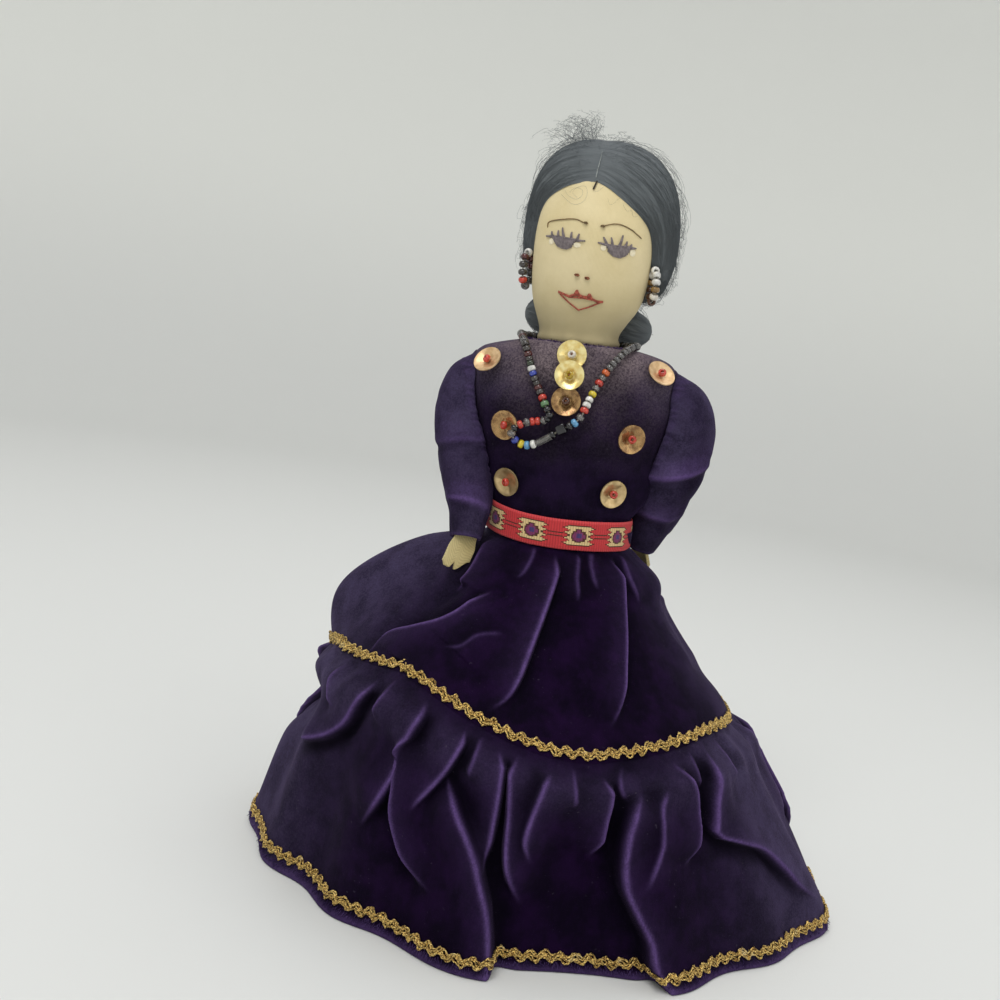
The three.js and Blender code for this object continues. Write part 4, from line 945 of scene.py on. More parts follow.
def blouseForm(u, v):
    turn = u * 360 - 180
    rise = blouse["low"] + (blouse["top"] + 1.2 - blouse["low"]) * v
    over = np.maximum(rise - blouse["top"], 0)  # the neck edge is turned in
    held = np.minimum(rise, blouse["top"])
    size = wander(31, turn, held / 9, 7) * 0.35 * ease(held, 4, 14) * (1 - ease(held, 56, 64))
    drawn = np.exp(-np.maximum(held - 5, 0) / 6)  # in by the belt
    size = size + 0.3 * wander(32, turn, held / 3, 26) * drawn
    size = size + 0.22 * wander(33, turn, held / 2, 40) * ease(held, 59, 64)  # uneven cut at the neck
    # fuller under the arms
    size = size + blouse["bulge"] * bell(held - 13, 9) * np.sin(np.radians(turn)) ** 6
    place = bodicePoint(turn, held, size - over * 1.1)
    place[:, 2] += 0.25 * wander(34, turn, 0 * turn, 48) * ease(held, 62, 65) - over * 0.4
    # the left shoulder is higher
    place[:, 2] += blouse["shoulder"] * bell(place[:, 0] - 29, 9) * ease(held, 55, 62.5)
    aside = ease(np.abs(place[:, 0] - 3), 14, 32)  # towards the shoulders the velvet is brushed, not worn: painted sheen in place of wear
    worn = (1 + 0.5 * wander(35, turn, held / 6, 9)) * np.interp(held, *zip(*blouse["worn"]))
    worn = worn * (1 - 0.65 * aside)
    # painted sheen, light all over and stronger towards the shoulders
    haze = 0.12 + 0.6 * aside * ease(held, 38, 54)
    # painted crest highlight along the turned-in neck edge
    return onBody(place), {"crest": 0.4 * ease(held, 63.6, 64.8), "worn": np.clip(worn, 0, 1), "haze": haze}


blousePiece = clothGrid("blouse", velvet, blouse["grid"], blouseForm, onBody((0, 0, 30)))
settled(blousePiece, "dress", "purple_velvet", "blouse_body")


torso = {"grid": (72, 60), "low": -11, "tall": 75, "inside": 2.2}


def torsoForm(u, v):
    turn = u * 360 - 180
    rise = torso["low"] + torso["tall"] * v
    close = np.sqrt(np.clip(1 - ((v - 0.5) / 0.5) ** 8, 0, 1))
    size = bodice(np.clip(rise, -8, 63.6)) - torso["inside"]
    t = np.radians(turn)
    place = np.stack([size[:, 0] * np.sin(t) * close, -size[:, 1] * np.cos(t) * close, rise], -1)
    return onBody(place), {}


torsoPiece = clothGrid("torso_stuffing", muslin, torso["grid"], torsoForm, onBody((0, 0, 28)))
settled(torsoPiece, "dress", "cream_muslin", "torso")


def neckPile():
    rng = np.random.default_rng(24)
    turns = np.sort(rng.uniform(-180, 180, pile["neck"]))
    here = onBody(bodicePoint(turns, np.full(pile["neck"], 64.6), -0.2))
    out = outward(turns)
    fall = np.tile((0, 0, 0.8), (pile["neck"], 1))
    return pileEdge("neck_pile", "dress", here, out * 0.5, fall, 1.0, 25)


neckPile()

belt = {"width": 10.4, "inner": 2.1, "thick": 0.8, "repeat": 36, "repeats": 10, "rows": 26,
        "start": 0.028, "ride": 3.0,
        "red": (200, 54, 58), "edge": (216, 70, 74), "cream": (224, 198, 142), "brown": (70, 42, 30),
        "plum": (122, 52, 98), "navy": (58, 58, 112)}


def motif(column, row):  # stepped star of the ribbon, in weave cells from its middle
    c, r = abs(column), abs(row)
    spike = 6.2 + max(0, 5.2 - 2.3 * abs(r - 6.6), 5.0 - 2.3 * abs(r - 2.3))
    if r > 11:
        return "edge"
    if c <= 2 and r <= 2:
        return "navy"
    if (c <= 1.5 and r <= 5) or (c <= 3.5 and r <= 3.5) or (c <= 5 and r <= 1.5):
        return "plum"
    if (c <= 2.5 and r <= 6.2) or (c <= 4.6 and r <= 4.5) or (c <= 6.2 and r <= 2.5):
        return "brown"
    if r <= 8.4 and c <= spike:
        return "cream"
    if r <= 9.4 and c <= spike + 1.5:
        return "brown"
    if 1 <= r < 2 and c > 12:
        return "brown"
    return "red"


def beltForm(u, v):
    turn = u * 360 - 180
    rise = (v - 0.5) * belt["width"]
    lip = 0.5 - np.abs(v - 0.5)
    size = belt["inner"] + belt["thick"] - 0.25 * bell(lip, 0.05)
    size = size + 0.12 * wander(41, turn, v * 3, 14)
    place = bodicePoint(turn, 0 * turn, size)
    # ridden up at one side
    place[:, 2] = rise + 0.2 * wander(42, turn, 0 * turn, 6) + belt["ride"] * bump(turn, -85, 45)
    return onBody(place), {}


def beltPiece():
    columns = belt["repeat"] * belt["repeats"]
    piece = clothGrid("belt_ribbon", ribbon, (columns, belt["rows"]), beltForm, onBody((0, 0, 0)))
    mesh = piece.data
    corner = np.empty(len(mesh.loops) * 2)
    mesh.uv_layers[0].data.foreach_get("uv", corner)
    corner = corner.reshape(-1, 2)
    cells = np.array([corner[list(face.loop_indices)].mean(0) for face in mesh.polygons])
    colours = []
    for u, v in cells:
        column = ((u + belt["start"] / belt["repeats"]) * belt["repeats"] % 1 - 0.5) * belt["repeat"]
        colours.append(rgb(*belt[motif(column, (v - 0.5) * belt["rows"])]))
    weave = mesh.attributes.new("weave", "FLOAT_COLOR", "FACE")
    weave.data.foreach_set("color", np.array(colours, np.float32).ravel())
    modified(piece, "SOLIDIFY", thickness=0.0007, offset=-1.0, use_rim=True)
    settled(piece, "dress", "red_ribbon", "belt")
    return piece


beltPiece()
print("blouse and belt done")


# sleeves and hands
sleeve = {"right": [(-5, -6, 0, 5.6), (-1.5, -3.4, 0, 7.0), (3, 0.6, 0.2, 8.2), (14, 4.2, 1.8, 9.5),
                    (28, 5.8, 5, 9.6), (42, 7.0, 11, 8.0), (56, 7.6, 16, 5.1)],
          "left": [(-4.2, -6.5, 0, 6.2), (-1.2, -2.6, 0, 7.8), (4, 2.6, 0, 9.8), (12, 6, 1.5, 10.8),
                   (26, 8.8, 5, 10.8), (42, 9.8, 11, 9), (56, 6.4, 16, 6.2)],
          # creases: place along the sleeve at its right and left edge, depth, brightness of its painted
          # highlight
          "creases": {"right": [(0.80, 0.85, 1.5, 0.8), (0.52, 0.56, 0.8, 0.35)],
                      "left": [(0.64, 0.49, 2.0, 1.0), (0.80, 0.75, 1.2, 0.5)]},
          "dome": {"right": 2.6, "left": 3.4}, "forward": {"right": 1.0, "left": -0.7},
          # elbow creases: place along the sleeve, turn, depth
          "elbow": [(0.46, 20, 1.0), (0.56, 200, 0.9), (0.66, 60, 1.1), (0.38, 250, 0.8)],
          # the first share closes over the shoulder and the last is the turned cuff
          "cap": 0.13, "cuff": 0.02, "length": 76, "shoulderRise": 50.0,
          "grid": (110, 130), "gap": 0.5}
hand = {"length": {"right": 12.0, "left": 8.6}, "tuck": {"right": 3.0, "left": 6.4}, "halfWidth": 4.7,
        "notch": 3.0, "thick": 1.3, "out": 0.3, "forward": 0.55, "grid": (30, 40),
        "across": {"right": (-0.86, -0.5, 0.0), "left": (0.45, -0.9, 0.0)}}


def armLine(side):
    sign = signOf[side]
    rows = []
    for drop, out, forward, radius in sleeve[side]:
        rise = sleeve["shoulderRise"] - drop
        wide = bodice(rise)[0]
        rows.append((sign * (wide + out), -forward * sleeve["forward"][side], rise, radius))
    return through(rows, 160)


def sleeveForm(side):
    line = armLine(side)
    centre, radius = line[:, :3], line[:, 3]
    ahead = unit(np.gradient(centre, axis=0))
    cross = unit(np.cross(ahead, (0, 1, 0)))
    over = np.cross(cross, ahead)
    sign = signOf[side]

    def laid(u, v):
        share = 1 - v
        cap, cuff = sleeve["cap"], sleeve["cuff"]
        along = np.clip((share - cap) / (1 - cap - cuff), 0, 1) * (len(line) - 1)
        steps = np.arange(len(line))
        mid, x, y, fore = (sampled(along, steps, values) for values in (centre, cross, over, ahead))
        size = np.interp(along, steps, radius)
        dome = np.clip(share / cap, 0, 1)
        size = size * np.sqrt(np.clip(1 - (1 - dome) ** 2, 0, 1))
        mid = mid - fore * ((1 - dome) * sleeve["dome"][side])[:, None]
        turn = u * 360
        t = np.radians(turn)
        size = size + (0.5 * wander(51 + sign, turn, share * 16, 5) * np.sin(math.pi * share)
                       + 0.35 * wander(53 + sign, turn, share * 40, 9) * ease(share, 0.25, 0.5)) * dome
        for place, at, depth in sleeve["elbow"]:
            dent = bell(share - place - 0.03 * np.sin(t * 2 + at), 0.022)
            size = size - depth * dent * (0.1 + 0.6 * bump(turn, at, 60)) * dome
        shine = np.zeros_like(size)
        for first, last, depth, bright in sleeve["creases"][side]:
            below = (share - first - (last - first) * (turn - 200) / 140) * sleeve["length"]
            front = bump(turn, 270, 62)
            size = size + depth * front * (bell(below, 2.2) - 0.9 * bell(below - 3.4, 2.6))
            shine = shine + bright * front * (bell(below, 1.0) + 0.4 * bell(below + 3, 3.5))
        inward = np.clip((share - 1 + cuff) / cuff, 0, 1)
        size = size * (1 - 0.3 * inward)
        mid = mid - fore * (inward * 1.2)[:, None]
        place = mid + x * (np.cos(t) * size)[:, None] + y * (np.sin(t) * size)[:, None]
        # flattened against the bodice, puckered along the armhole
        rise = np.clip(place[:, 2], -7, 64)
        box = bodice(rise) + sleeve["gap"]
        inside = np.sqrt((place[:, 0] / box[:, 0]) ** 2 + (place[:, 1] / box[:, 1]) ** 2)
        push = np.where(inside < 1, 1 / np.maximum(inside, 0.05), 1)
        place[:, 0] = np.where(inside < 1, sign * np.abs(place[:, 0]) * push, place[:, 0])
        place[:, 1] *= push
        seam = bell(inside - 1.05, 0.05) * ease(place[:, 2], 8, 20)
        pucker = np.sin(place[:, 2] * 1.9 + 2 * np.sin(place[:, 2] * 0.7))
        place[:, 0] += sign * 0.25 * seam * pucker
        place[:, 1] += 0.2 * seam * pucker
        # painted highlight along the armhole puckers, near the cuff and on the creases
        crest = np.clip(0.25 * seam * (0.6 + 0.4 * pucker)
                        + 0.3 * ease(share, 0.955, 0.975) * (1 - inward) + shine, 0, 1)
        # painted sheen, stronger towards the shoulder
        haze = 0.85 - 0.25 * ease(share, 0.2, 0.6) + 0.35 * wander(57 + sign, turn, share * 9, 3)
        return onBody(place), {"crest": crest, "haze": np.clip(haze, 0, 1)}
    return laid


def handPiece(side):
    line = armLine(side)
    sign = signOf[side]
    wrist = line[-1, :3]
    fall = np.array([sign * hand["out"], -hand["forward"] * sleeve["forward"][side], -1.0])
    fall = unit(fall)
    across = np.array(hand["across"][side])
    across -= fall * (across @ fall)
    across = unit(across)
    face = np.cross(across, fall)

    def laid(u, v):
        a, share = u * 2 - 1, 1 - v
        # a mitten end: fingers, a deep notch, a short thumb
        end = hand["length"][side] - hand["notch"] * np.clip(1 - np.abs(a - 0.12) / 0.22, 0, 1)
        end = end - 1.4 * ease(a, 0.7, 1) - 5.0 * ease(-a, 0, 1)
        wide = hand["halfWidth"] * (0.82 + 0.18 * ease(share, 0.2, 0.6))
        reach = -hand["tuck"][side] + (end + hand["tuck"][side]) * share
        curl = 0.5 * np.sin(share * 2.2) + 0.35 * a * share
        place = wrist + across * (a * wide)[:, None] + fall * reach[:, None] + face * curl[:, None]
        return onBody(place), {}
    piece = clothGrid("hand_" + side + "_twill", twill, hand["grid"], laid)
    modified(piece, "SOLIDIFY", thickness=hand["thick"] / 1000, offset=0.0, use_rim=True)
    modified(piece, "BEVEL", width=0.0002, segments=2, limit_method="ANGLE")
    smoothed(piece, 40)
    settled(piece, "arm_" + side, "tan_twill", "hand_" + side)


for side in signOf:
    arm = armLine(side)
    piece = clothGrid("sleeve_" + side + "_velvet", velvet, sleeve["grid"], sleeveForm(side),
                      onBody(arm[70, :3]))
    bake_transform(piece)
    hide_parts("sleeve_" + side, "arm_core_" + side)
    handPiece(side)
print("sleeves and hands done")


# head
head = {"grid": (180, 120), "height": 61.5, "neck": (13.9, 12.2, 12.4), "cheek": (20.6, 16.8, 18.6),
        "cheekShare": 0.5,
        # how far the jaw has filled out from neck to cheek, by height
        "jaw": [(0, 0), (4, .05), (8, .3), (12, .6), (16, .8), (22, .94), (30.75, 1)], "neckSide": -1.8,
        # painted shade by height: darkest at the neck seam, fading out above the cheeks
        "soil": [(0, 0.8), (5, 0.7), (12, 0.42), (22, 0.2), (34, 0.06), (42, 0)]}
jaw = smoothLine(head["jaw"])


def headSize(z):  # half width, depth to the face, depth to the back
    share = np.asarray(z, float)[..., None] / head["height"]
    neck, cheek, at = np.array(head["neck"]), np.array(head["cheek"]), head["cheekShare"]
    low = neck + (cheek - neck) * jaw(np.clip(z, 0, head["height"] * at))
    high = cheek * np.sqrt(np.clip(1 - (np.clip(share - at, 0, 1) / (1 - at)) ** 2.4, 0, 1))
    return np.where(share < at, low, high)


def headForm(u, v):
    turn = u * 360 - 180
    t = np.radians(turn)
    z = np.where(v < 0.06, -4.5 + 4.5 * v / 0.06,
                 head["height"] * np.sin((v - 0.06) / 0.94 * math.pi / 2 * 0.999))
    size = headSize(np.maximum(z, 0))
    size = size * np.where(z < 0, 1 - 0.05 * ease(-z, 0, 2), 1)[:, None]
    size[:, 0] = np.where(z < 0, np.minimum(size[:, 0], head["neck"][0] - 0.5 * np.minimum(-z, 4)),
                          size[:, 0])
    lump = 0.16 * wander(61, turn, z / 7, 6) * ease(z, 2, 9) * (1 - ease(z, 50, 60))
    gather = 0.28 * wander(62, turn, z / 5, 22) * np.exp(-np.maximum(z, 0) / 5)  # drawn up at the neck
    # frayed seam edge
    gather = gather + 0.9 * bell(z - 0.6, 1.2) * (0.6 + 0.4 * wander(63, turn, 0 * z, 17))
    deep = np.where(np.cos(t) > 0, size[:, 1], size[:, 2])
    place = np.stack([(size[:, 0] + lump + gather) * np.sin(t), -(deep + lump + gather) * np.cos(t), z], -1)
    top = v > 0.9995
    place[top, :2] = 0
    place[:, 0] += head["neckSide"] * (1 - jaw(np.clip(z, 0, 30))[:, 0])
    return onHead(place), {"soil": np.interp(z, *zip(*head["soil"]))}


headPiece = clothGrid("head_muslin", muslin, head["grid"], headForm, onHead((0, 0, 30)))
settled(headPiece, "head", "cream_muslin", "head")


def facePoint(x, z, lift):
    size = headSize(z)
    y = -size[..., 1] * np.sqrt(np.clip(1 - (np.asarray(x, float) / size[..., 0]) ** 2, 0, 1))
    here = np.stack([np.asarray(x, float), y, np.asarray(z, float)], -1)
    out = np.stack([here[..., 0] / size[..., 0] ** 2, y / size[..., 1] ** 2, 0 * y], -1)
    return here + unit(out) * np.asarray(lift, float)[..., None]


# the sewn face: stitches by (x, height above the neck seam)
face = {
    "browRight": [(-14.8, 36.9), (-14.6, 38.6), (-12.8, 39.2), (-9.9, 39.6), (-6.0, 40.0), (-4.1, 39.8),
                  (-2.0, 39.0), (-1.4, 39.0)],
    "browLeft": [(16.8, 36.5), (15.3, 37.5), (13.8, 38.5), (11.5, 39.4), (9.6, 39.8), (7.8, 39.7),
                 (6.4, 39.3), (5.1, 38.8), (4.3, 38.5)],
    "irisRight": [(-12.4, 33.6), (-11.4, 32.1), (-10.4, 30.8), (-8.7, 30.1), (-6.9, 29.9), (-5.4, 30.7),
                  (-4.8, 32.0), (-4.1, 33.0)],
    "irisLeft": [(6.4, 32.2), (7.0, 30.5), (8.8, 29.2), (10.9, 28.9), (12.8, 30.0), (13.7, 31.7),
                 (13.9, 33.0)],
    "lidRight": [(-14.8, 34.0), (-12.9, 34.1), (-9.6, 33.9), (-6.3, 33.5), (-4.4, 33.3), (-1.1, 33.1)],
    "lidLeft": [(3.4, 33.1), (6.3, 32.8), (8.7, 32.7), (10.8, 32.8), (13.0, 33.0), (15.5, 32.9)],
    # lashes: root and tip
    "lashRight": [((-12.9, 34.0), (-14.9, 34.1)), ((-12.2, 34.0), (-13.0, 35.5)),
                  ((-10.2, 33.9), (-10.6, 35.9)), ((-8.2, 33.8), (-9.2, 36.9)),
                  ((-5.7, 33.8), (-5.8, 35.6)), ((-3.6, 33.5), (-3.2, 35.2)),
                  ((-3.9, 33.1), (-0.9, 33.2))],
    "lashLeft": [((6.2, 32.8), (3.4, 33.1)), ((6.3, 33.1), (5.0, 35.0)), ((8.1, 33.0), (7.5, 35.2)),
                 ((10.3, 32.9), (11.1, 36.4)), ((12.1, 33.0), (12.6, 34.6)),
                 ((13.4, 32.9), (14.1, 33.9)), ((13.8, 32.8), (15.6, 32.9))],
    # whites: middle, half width, half height
    "whites": [(-12.7, 32.3, 0.7, 1.0), (-3.5, 31.6, 1.0, 0.8), (5.3, 31.7, 0.7, 1.0),
               (14.7, 31.3, 0.7, 1.2)],
    "nose": [(-2.4, 21.9), (1.1, 21.2)],
    "upperLip": [(-8.3, 16.1), (-6.7, 15.6), (-4.4, 14.9), (-2.7, 15.6), (-1.9, 17.0), (-0.9, 15.6),
                 (0.4, 15.2), (1.8, 15.2), (2.4, 16.2), (3.4, 14.8), (5.2, 14.1), (7.0, 14.3)],
    "lipPeaks": [(-1.9, 17.0, 15.1), (2.4, 16.2, 14.8)],
    "lipBase": [(-8.1, 15.8), (-4.4, 14.5), (0.4, 14.6), (3.6, 14.3), (7.0, 14.1)],
    "lowerLip": [(-7.7, 15.2), (-4.1, 12.6), (-0.9, 10.6), (2.1, 11.7), (4.9, 13.1), (6.8, 14.2)]}


def stitchLine(points, lift, length=1.7):  # back stitch: short threads that dip at each end
    line = through(points, 60)
    run = runOf(line)
    count = max(1, round(run[-1] / length))
    paths = []
    for k in range(count):
        at = np.linspace(k, k + 1.05, 7) / count * run[-1]
        x, z = np.interp(at, run, line[:, 0]), np.interp(at, run, line[:, 1])
        paths.append(onHead(facePoint(x, z, lift * np.sin(np.linspace(0.35, math.pi - 0.35, 7)))))
    return paths


def straightStitch(first, second, lift):
    share = np.linspace(0, 1, 6)
    x, z = first[0] + (second[0] - first[0]) * share, first[1] + (second[1] - first[1]) * share
    return onHead(facePoint(x, z, lift * (0.25 + 0.75 * np.sin(math.pi * share))))


def satinPatch(edge, lid, pitch, lift):
    low, high = np.array(edge), np.array(lid)
    return [straightStitch((x, np.interp(x, low[:, 0], low[:, 1])),
                           (x, np.interp(x, high[:, 0], high[:, 1]) + 0.2), lift)
            for x in np.arange(low[0, 0] + 0.2, low[-1, 0], pitch)]


def chain(points, lift):  # straight stitches from point to point
    return [straightStitch(first, second, lift) for first, second in zip(points[:-1], points[1:])]


eyes, lashes, brows = [], [], []
for side in ("Right", "Left"):
    eyes += satinPatch(face["iris" + side], face["lid" + side], 0.4, 0.42)
    lashes += chain(face["lid" + side], 0.4)
    for root, tip in face["lash" + side]:
        lashes += [straightStitch((root[0] + aside, root[1] - 0.3), tip, 0.42 + 0.1 * abs(aside))
                   for aside in (-0.3, 0, 0.3)]
    brows += stitchLine(face["brow" + side], 0.28, 2.4)
mouth = chain(face["lowerLip"], 0.3) + chain(face["upperLip"], 0.36) + chain(face["lipBase"], 0.36)
mouth += chain([(x, z - 0.35) for x, z in face["upperLip"]], 0.4)
for x, z, foot in face["lipPeaks"]:
    mouth += [straightStitch((x + aside, foot), (x + aside * 0.15, z), 0.36)
              for aside in np.linspace(-1.0, 1.0, 6)]
whites = [straightStitch((x + wide * step, z - high * (1 - 0.4 * step * step)),
                         (x + wide * step, z + high * (1 - 0.4 * step * step)), 0.1)
          for x, z, wide, high in face["whites"] for step in np.linspace(-1, 1, 8)]
sewn = {"eyes": (lashThread, eyes, 0.3), "lashes": (lashThread, lashes, 0.27),
        "brows": (browThread, brows, 0.2), "mouth": (lipThread, mouth, 0.26),
        "eye_whites": (whiteThread, whites, 0.22)}
for name, (thread, paths, radius) in sewn.items():
    settled(strung("face_" + name, thread, paths, radius, 1), "head", "cream_muslin")
for count, (x, z) in enumerate(face["nose"]):
    settled(knotPiece("face_nostril_" + "ab"[count], noseThread, onHead(facePoint(x, z, 0.35)), 0.5),
            "head", "cream_muslin")
for count, (x, z) in enumerate((face["browRight"][-1], face["browLeft"][-1])):
    settled(knotPiece("face_brow_knot_" + "ab"[count], browThread, onHead(facePoint(x, z, 0.35)), 0.45),
            "head", "cream_muslin")
print("face sewn")


# hair: two swept halves that run from the parting to the bun
hair = {"middle": (0, 4, 36.25), "wide": {1: 28.6, -1: 25.2}, "deep": 20.6, "high": 33.25, "swell": 0.07,
        "locks": 26, "grid": (240, 90), "strands": 520, "seed": 70,
        # loose hairs of each half, short and long, and those of the tuft on the crown
        "loose": {1: (420, 60), -1: (260, 30)}, "tuft": 100,
        # front edge of each half: (x, height) on the face side, then points behind the ear
        "edge": {1: [(0, 53.1), (4.1, 51.4), (7.6, 49.2), (12, 46.2), (15.9, 43.2), (18.8, 39.6),
                     (20.2, 34.5), (20.5, 28.6)],
                 -1: [(0, 53.1), (8.2, 51.6), (13, 49.4), (17, 46.3), (19.2, 42), (19.9, 36.5),
                      (20.3, 30.5)]},
        "behindEar": [(20.2, 3.5, 24.5), (17.2, 11.5, 18), (11.5, 17.5, 12)],
        "back": [(0, 23.6, 45.5), (0, 24.6, 36), (0.6, 23.6, 26), (2.6, 22, 16)]}


def hairLines(sign):
    edge = np.array(hair["edge"][sign])
    front = facePoint(edge[:, 0], edge[:, 1], 0.15)
    front = through(np.r_[front, np.array(hair["behindEar"])], 200)
    behind = through(hair["back"], 200)
    radii = np.array([hair["wide"][sign], hair["deep"], hair["high"]])
    ball = lambda p: (p * np.array([sign, 1, 1]) - hair["middle"]) / radii
    return ball(front), ball(behind), radii


def hairPoint(lines, across, along, lift=0.0):
    # a strand starts on the parting (along 0), goes round the head and ends at the bun (along 1)
    first, last = (sampled(along * 199, np.arange(200), line) for line in lines[:2])
    edgeSize, endSize = np.linalg.norm(first, axis=-1), np.linalg.norm(last, axis=-1)
    a, b = first / edgeSize[..., None], last / endSize[..., None]
    angle = np.arccos(np.clip((a * b).sum(-1), -1, 1))
    w = np.asarray(across, float)
    q = (a * (np.sin((1 - w) * angle) / np.sin(angle))[..., None]
         + b * (np.sin(w * angle) / np.sin(angle))[..., None])
    span = np.maximum(q[..., 0] ** 2 + q[..., 2] ** 2, 0.01)
    full = 1 + hair["swell"] * (2 * q[..., 0] * np.maximum(q[..., 2], 0)) ** 2 / span
    full = full - 0.012 * bell(along, 0.03) * (1 - ease(w, 0.35, 0.6))
    low = edgeSize + (endSize - edgeSize) * w
    size = edgeSize + (full - edgeSize) * ease(w, 0, 0.17)
    size = size + (low - size) * ease(along, 0.72, 1.0)
    place = hair["middle"] + q * lines[2] * size[..., None]
    return place + unit(q) * np.asarray(lift)[..., None]


def hairForm(lines):
    def laid(u, v):
        lock = np.abs(np.sin(u * hair["locks"] * 1.57 + 0.9 * np.sin(v * 5 + u * 9)))
        fine = np.sin(u * 260 + 3 * np.sin(v * 4 + u * 30)) * 0.5
        fine = fine + np.sin(u * 171 + 5 * np.sin(v * 3)) * 0.5
        lift = (0.14 * lock + 0.05 * fine) * ease(u, 0, 0.08) * (1 - 0.5 * ease(v, 0.9, 1))
        return onHead(hairPoint(lines, u, v, lift)), {}
    return laid


def strandPaths(lines, seed, count):
    rng = np.random.default_rng(seed)
    paths = []
    for _ in range(count):
        start, end = rng.uniform(0.0, 0.35), rng.uniform(0.6, 1.0)
        along = np.linspace(start, end, 15)
        across = np.clip(rng.uniform(0.01, 0.99) + 0.012
                         * np.sin(along * rng.uniform(4, 12) + rng.uniform(0, 6)), 0.004, 0.996)
        lift = 0.12 + rng.uniform(0, 0.25) + 0.12 * np.sin(along * 9 + rng.uniform(0, 6))
        paths.append(onHead(hairPoint(lines, across, along, lift)))
    return paths


def frizzPaths(lines, seed, count, height, area=((0.03, 0.97), (0.02, 0.85)), pull=(0, 0, 0), spread=1.0):
    # crimped loose hairs that leave the cap and fall back to it
    rng = np.random.default_rng(seed)
    paths = []
    for _ in range(count):
        steps = 18
        share = np.linspace(0, 1, steps)
        across = rng.uniform(*area[0]) + rng.uniform(-0.16, 0.16) * share
        along = rng.uniform(*area[1]) + rng.uniform(-0.16, 0.22) * share * spread
        high = rng.uniform(*height)
        ends = 0.15 if rng.random() < 0.5 else 1.0
        rise = high * np.where(share < 0.5, np.sin(math.pi * share),
                               np.sin(math.pi * share) * ends + 1 - ends)
        curl = rng.uniform(0.3, 0.9) * np.sin(share * rng.uniform(9, 26) + rng.uniform(0, 6))
        place = hairPoint(lines, np.clip(across + curl * 0.012, 0.01, 0.99),
                          np.clip(along + curl * 0.01, 0.005, 0.995), rise + 0.4 + 0.35 * curl)
        wild = np.cumsum(rng.normal(0, 0.16, (steps, 3)), axis=0) * np.sin(math.pi * share * 0.5)[:, None]
        paths.append(onHead(place + wild + np.array(pull) * (share[:, None] ** 1.2)))
    return paths


frizz = []
for side, sign in signOf.items():
    lines = hairLines(sign)
    cap = clothGrid("hair_" + side + "_cap", blackHair, hair["grid"], hairForm(lines), onHead((0, 4, 34)))
    settled(cap, "head", "black_hair", "hair_" + side)
    strands = strung("hair_" + side + "_strands", blackHair,
                     strandPaths(lines, hair["seed"] + sign, hair["strands"]), 0.055, 0,
                     [(0, 0.3), (0.2, 1), (0.8, 1), (1, 0.3)])
    settled(strands, "head", "black_hair")
    short, long = hair["loose"][sign]
    frizz += frizzPaths(lines, 80 + sign, short, (0.5, 2.2))
    frizz += frizzPaths(lines, 90 + sign, long, (1.6, 3.8))
frizz += frizzPaths(hairLines(-1), 101, hair["tuft"], (2.5, 7.0), ((0.2, 0.6), (0.03, 0.12)),
                    (-1.0, 0, 3.8), 0.45)
frizzPiece = strung("hair_flyaway", blackHair, frizz, 0.04, 0, [(0, 1), (0.7, 0.9), (1, 0.3)])
settled(frizzPiece, "head", "black_hair")


# loose curls on the forehead, by (x, height)
curls = [[(-11.4, 48.3), (-8.7, 46), (-6.3, 44.8), (-4.1, 45.3), (-2.6, 46.9), (-2.4, 49.4), (-3.5, 51.2),
          (-5.8, 50.7), (-7.4, 49.1), (-5.5, 47.2)],
         [(-10.2, 49.4), (-8.2, 47.4), (-5.6, 46.6), (-3.9, 48), (-4.4, 50), (-6.6, 50.4), (-8.4, 48.8)],
         [(4.6, 47.8), (5.6, 45.9), (6.9, 46.5), (7.5, 47.5), (8.4, 48.4)],
         [(9.5, 46.8), (11.2, 44.6), (12.6, 44.9), (13.4, 43.1), (14.6, 43.4)],
         [(-1.0, 51.6), (0.4, 49.6), (1.8, 50.6), (2.6, 51.4)]]


def brokenHairs():
    paths = [onHead(facePoint(*through(curl, 40).T, 0.3 + 0.12 * np.sin(np.arange(40) * 0.4)))
             for curl in curls]
    return settled(strung("hair_forehead", blackHair, paths, 0.025, 0), "head", "black_hair")


brokenHairs()

bun = {"grid": (150, 110), "back": 22.1, "rise": 8.0, "aside": -1.8, "tilt": 0.05, "half": 24.0,
       "radius": 7.4, "dip": 0.42, "yarn": 0.72, "wraps": 5, "hairs": 620}


def bunSize(share):
    waisted = bun["radius"] * (1 - bun["dip"] * bell(share, 0.34))
    return waisted * np.sqrt(np.clip(1 - share**4, 0, 1))


def bunPoint(turn, share, lift=0.0):
    size = bunSize(share) + lift
    t = np.radians(turn) + share * 1.1
    return np.stack([bun["aside"] + share * bun["half"], bun["back"] + size * np.cos(t),
                     bun["rise"] - bun["tilt"] * share * bun["half"] + size * np.sin(t)], -1)


def bunForm(u, v):
    turn, share = u * 360, (v * 2 - 1) * 0.9999
    lift = 0.35 * np.abs(np.sin(np.radians(turn) * 7 + np.sin(share * 5)))
    lift = lift + 0.1 * np.sin(np.radians(turn) * 43 + 4 * share)
    place = bunPoint(turn, share, lift * np.sqrt(np.clip(1 - share**4, 0, 1)))
    ends = np.abs(v * 2 - 1) > 0.999
    place[ends, 1], place[ends, 2] = bun["back"], bun["rise"] - bun["tilt"] * place[ends, 0]
    return onHead(place), {}


bunPiece = clothGrid("hair_bun", blackHair, bun["grid"], bunForm, onHead((0, bun["back"], bun["rise"])))
settled(bunPiece, "head", "black_hair", "bun")


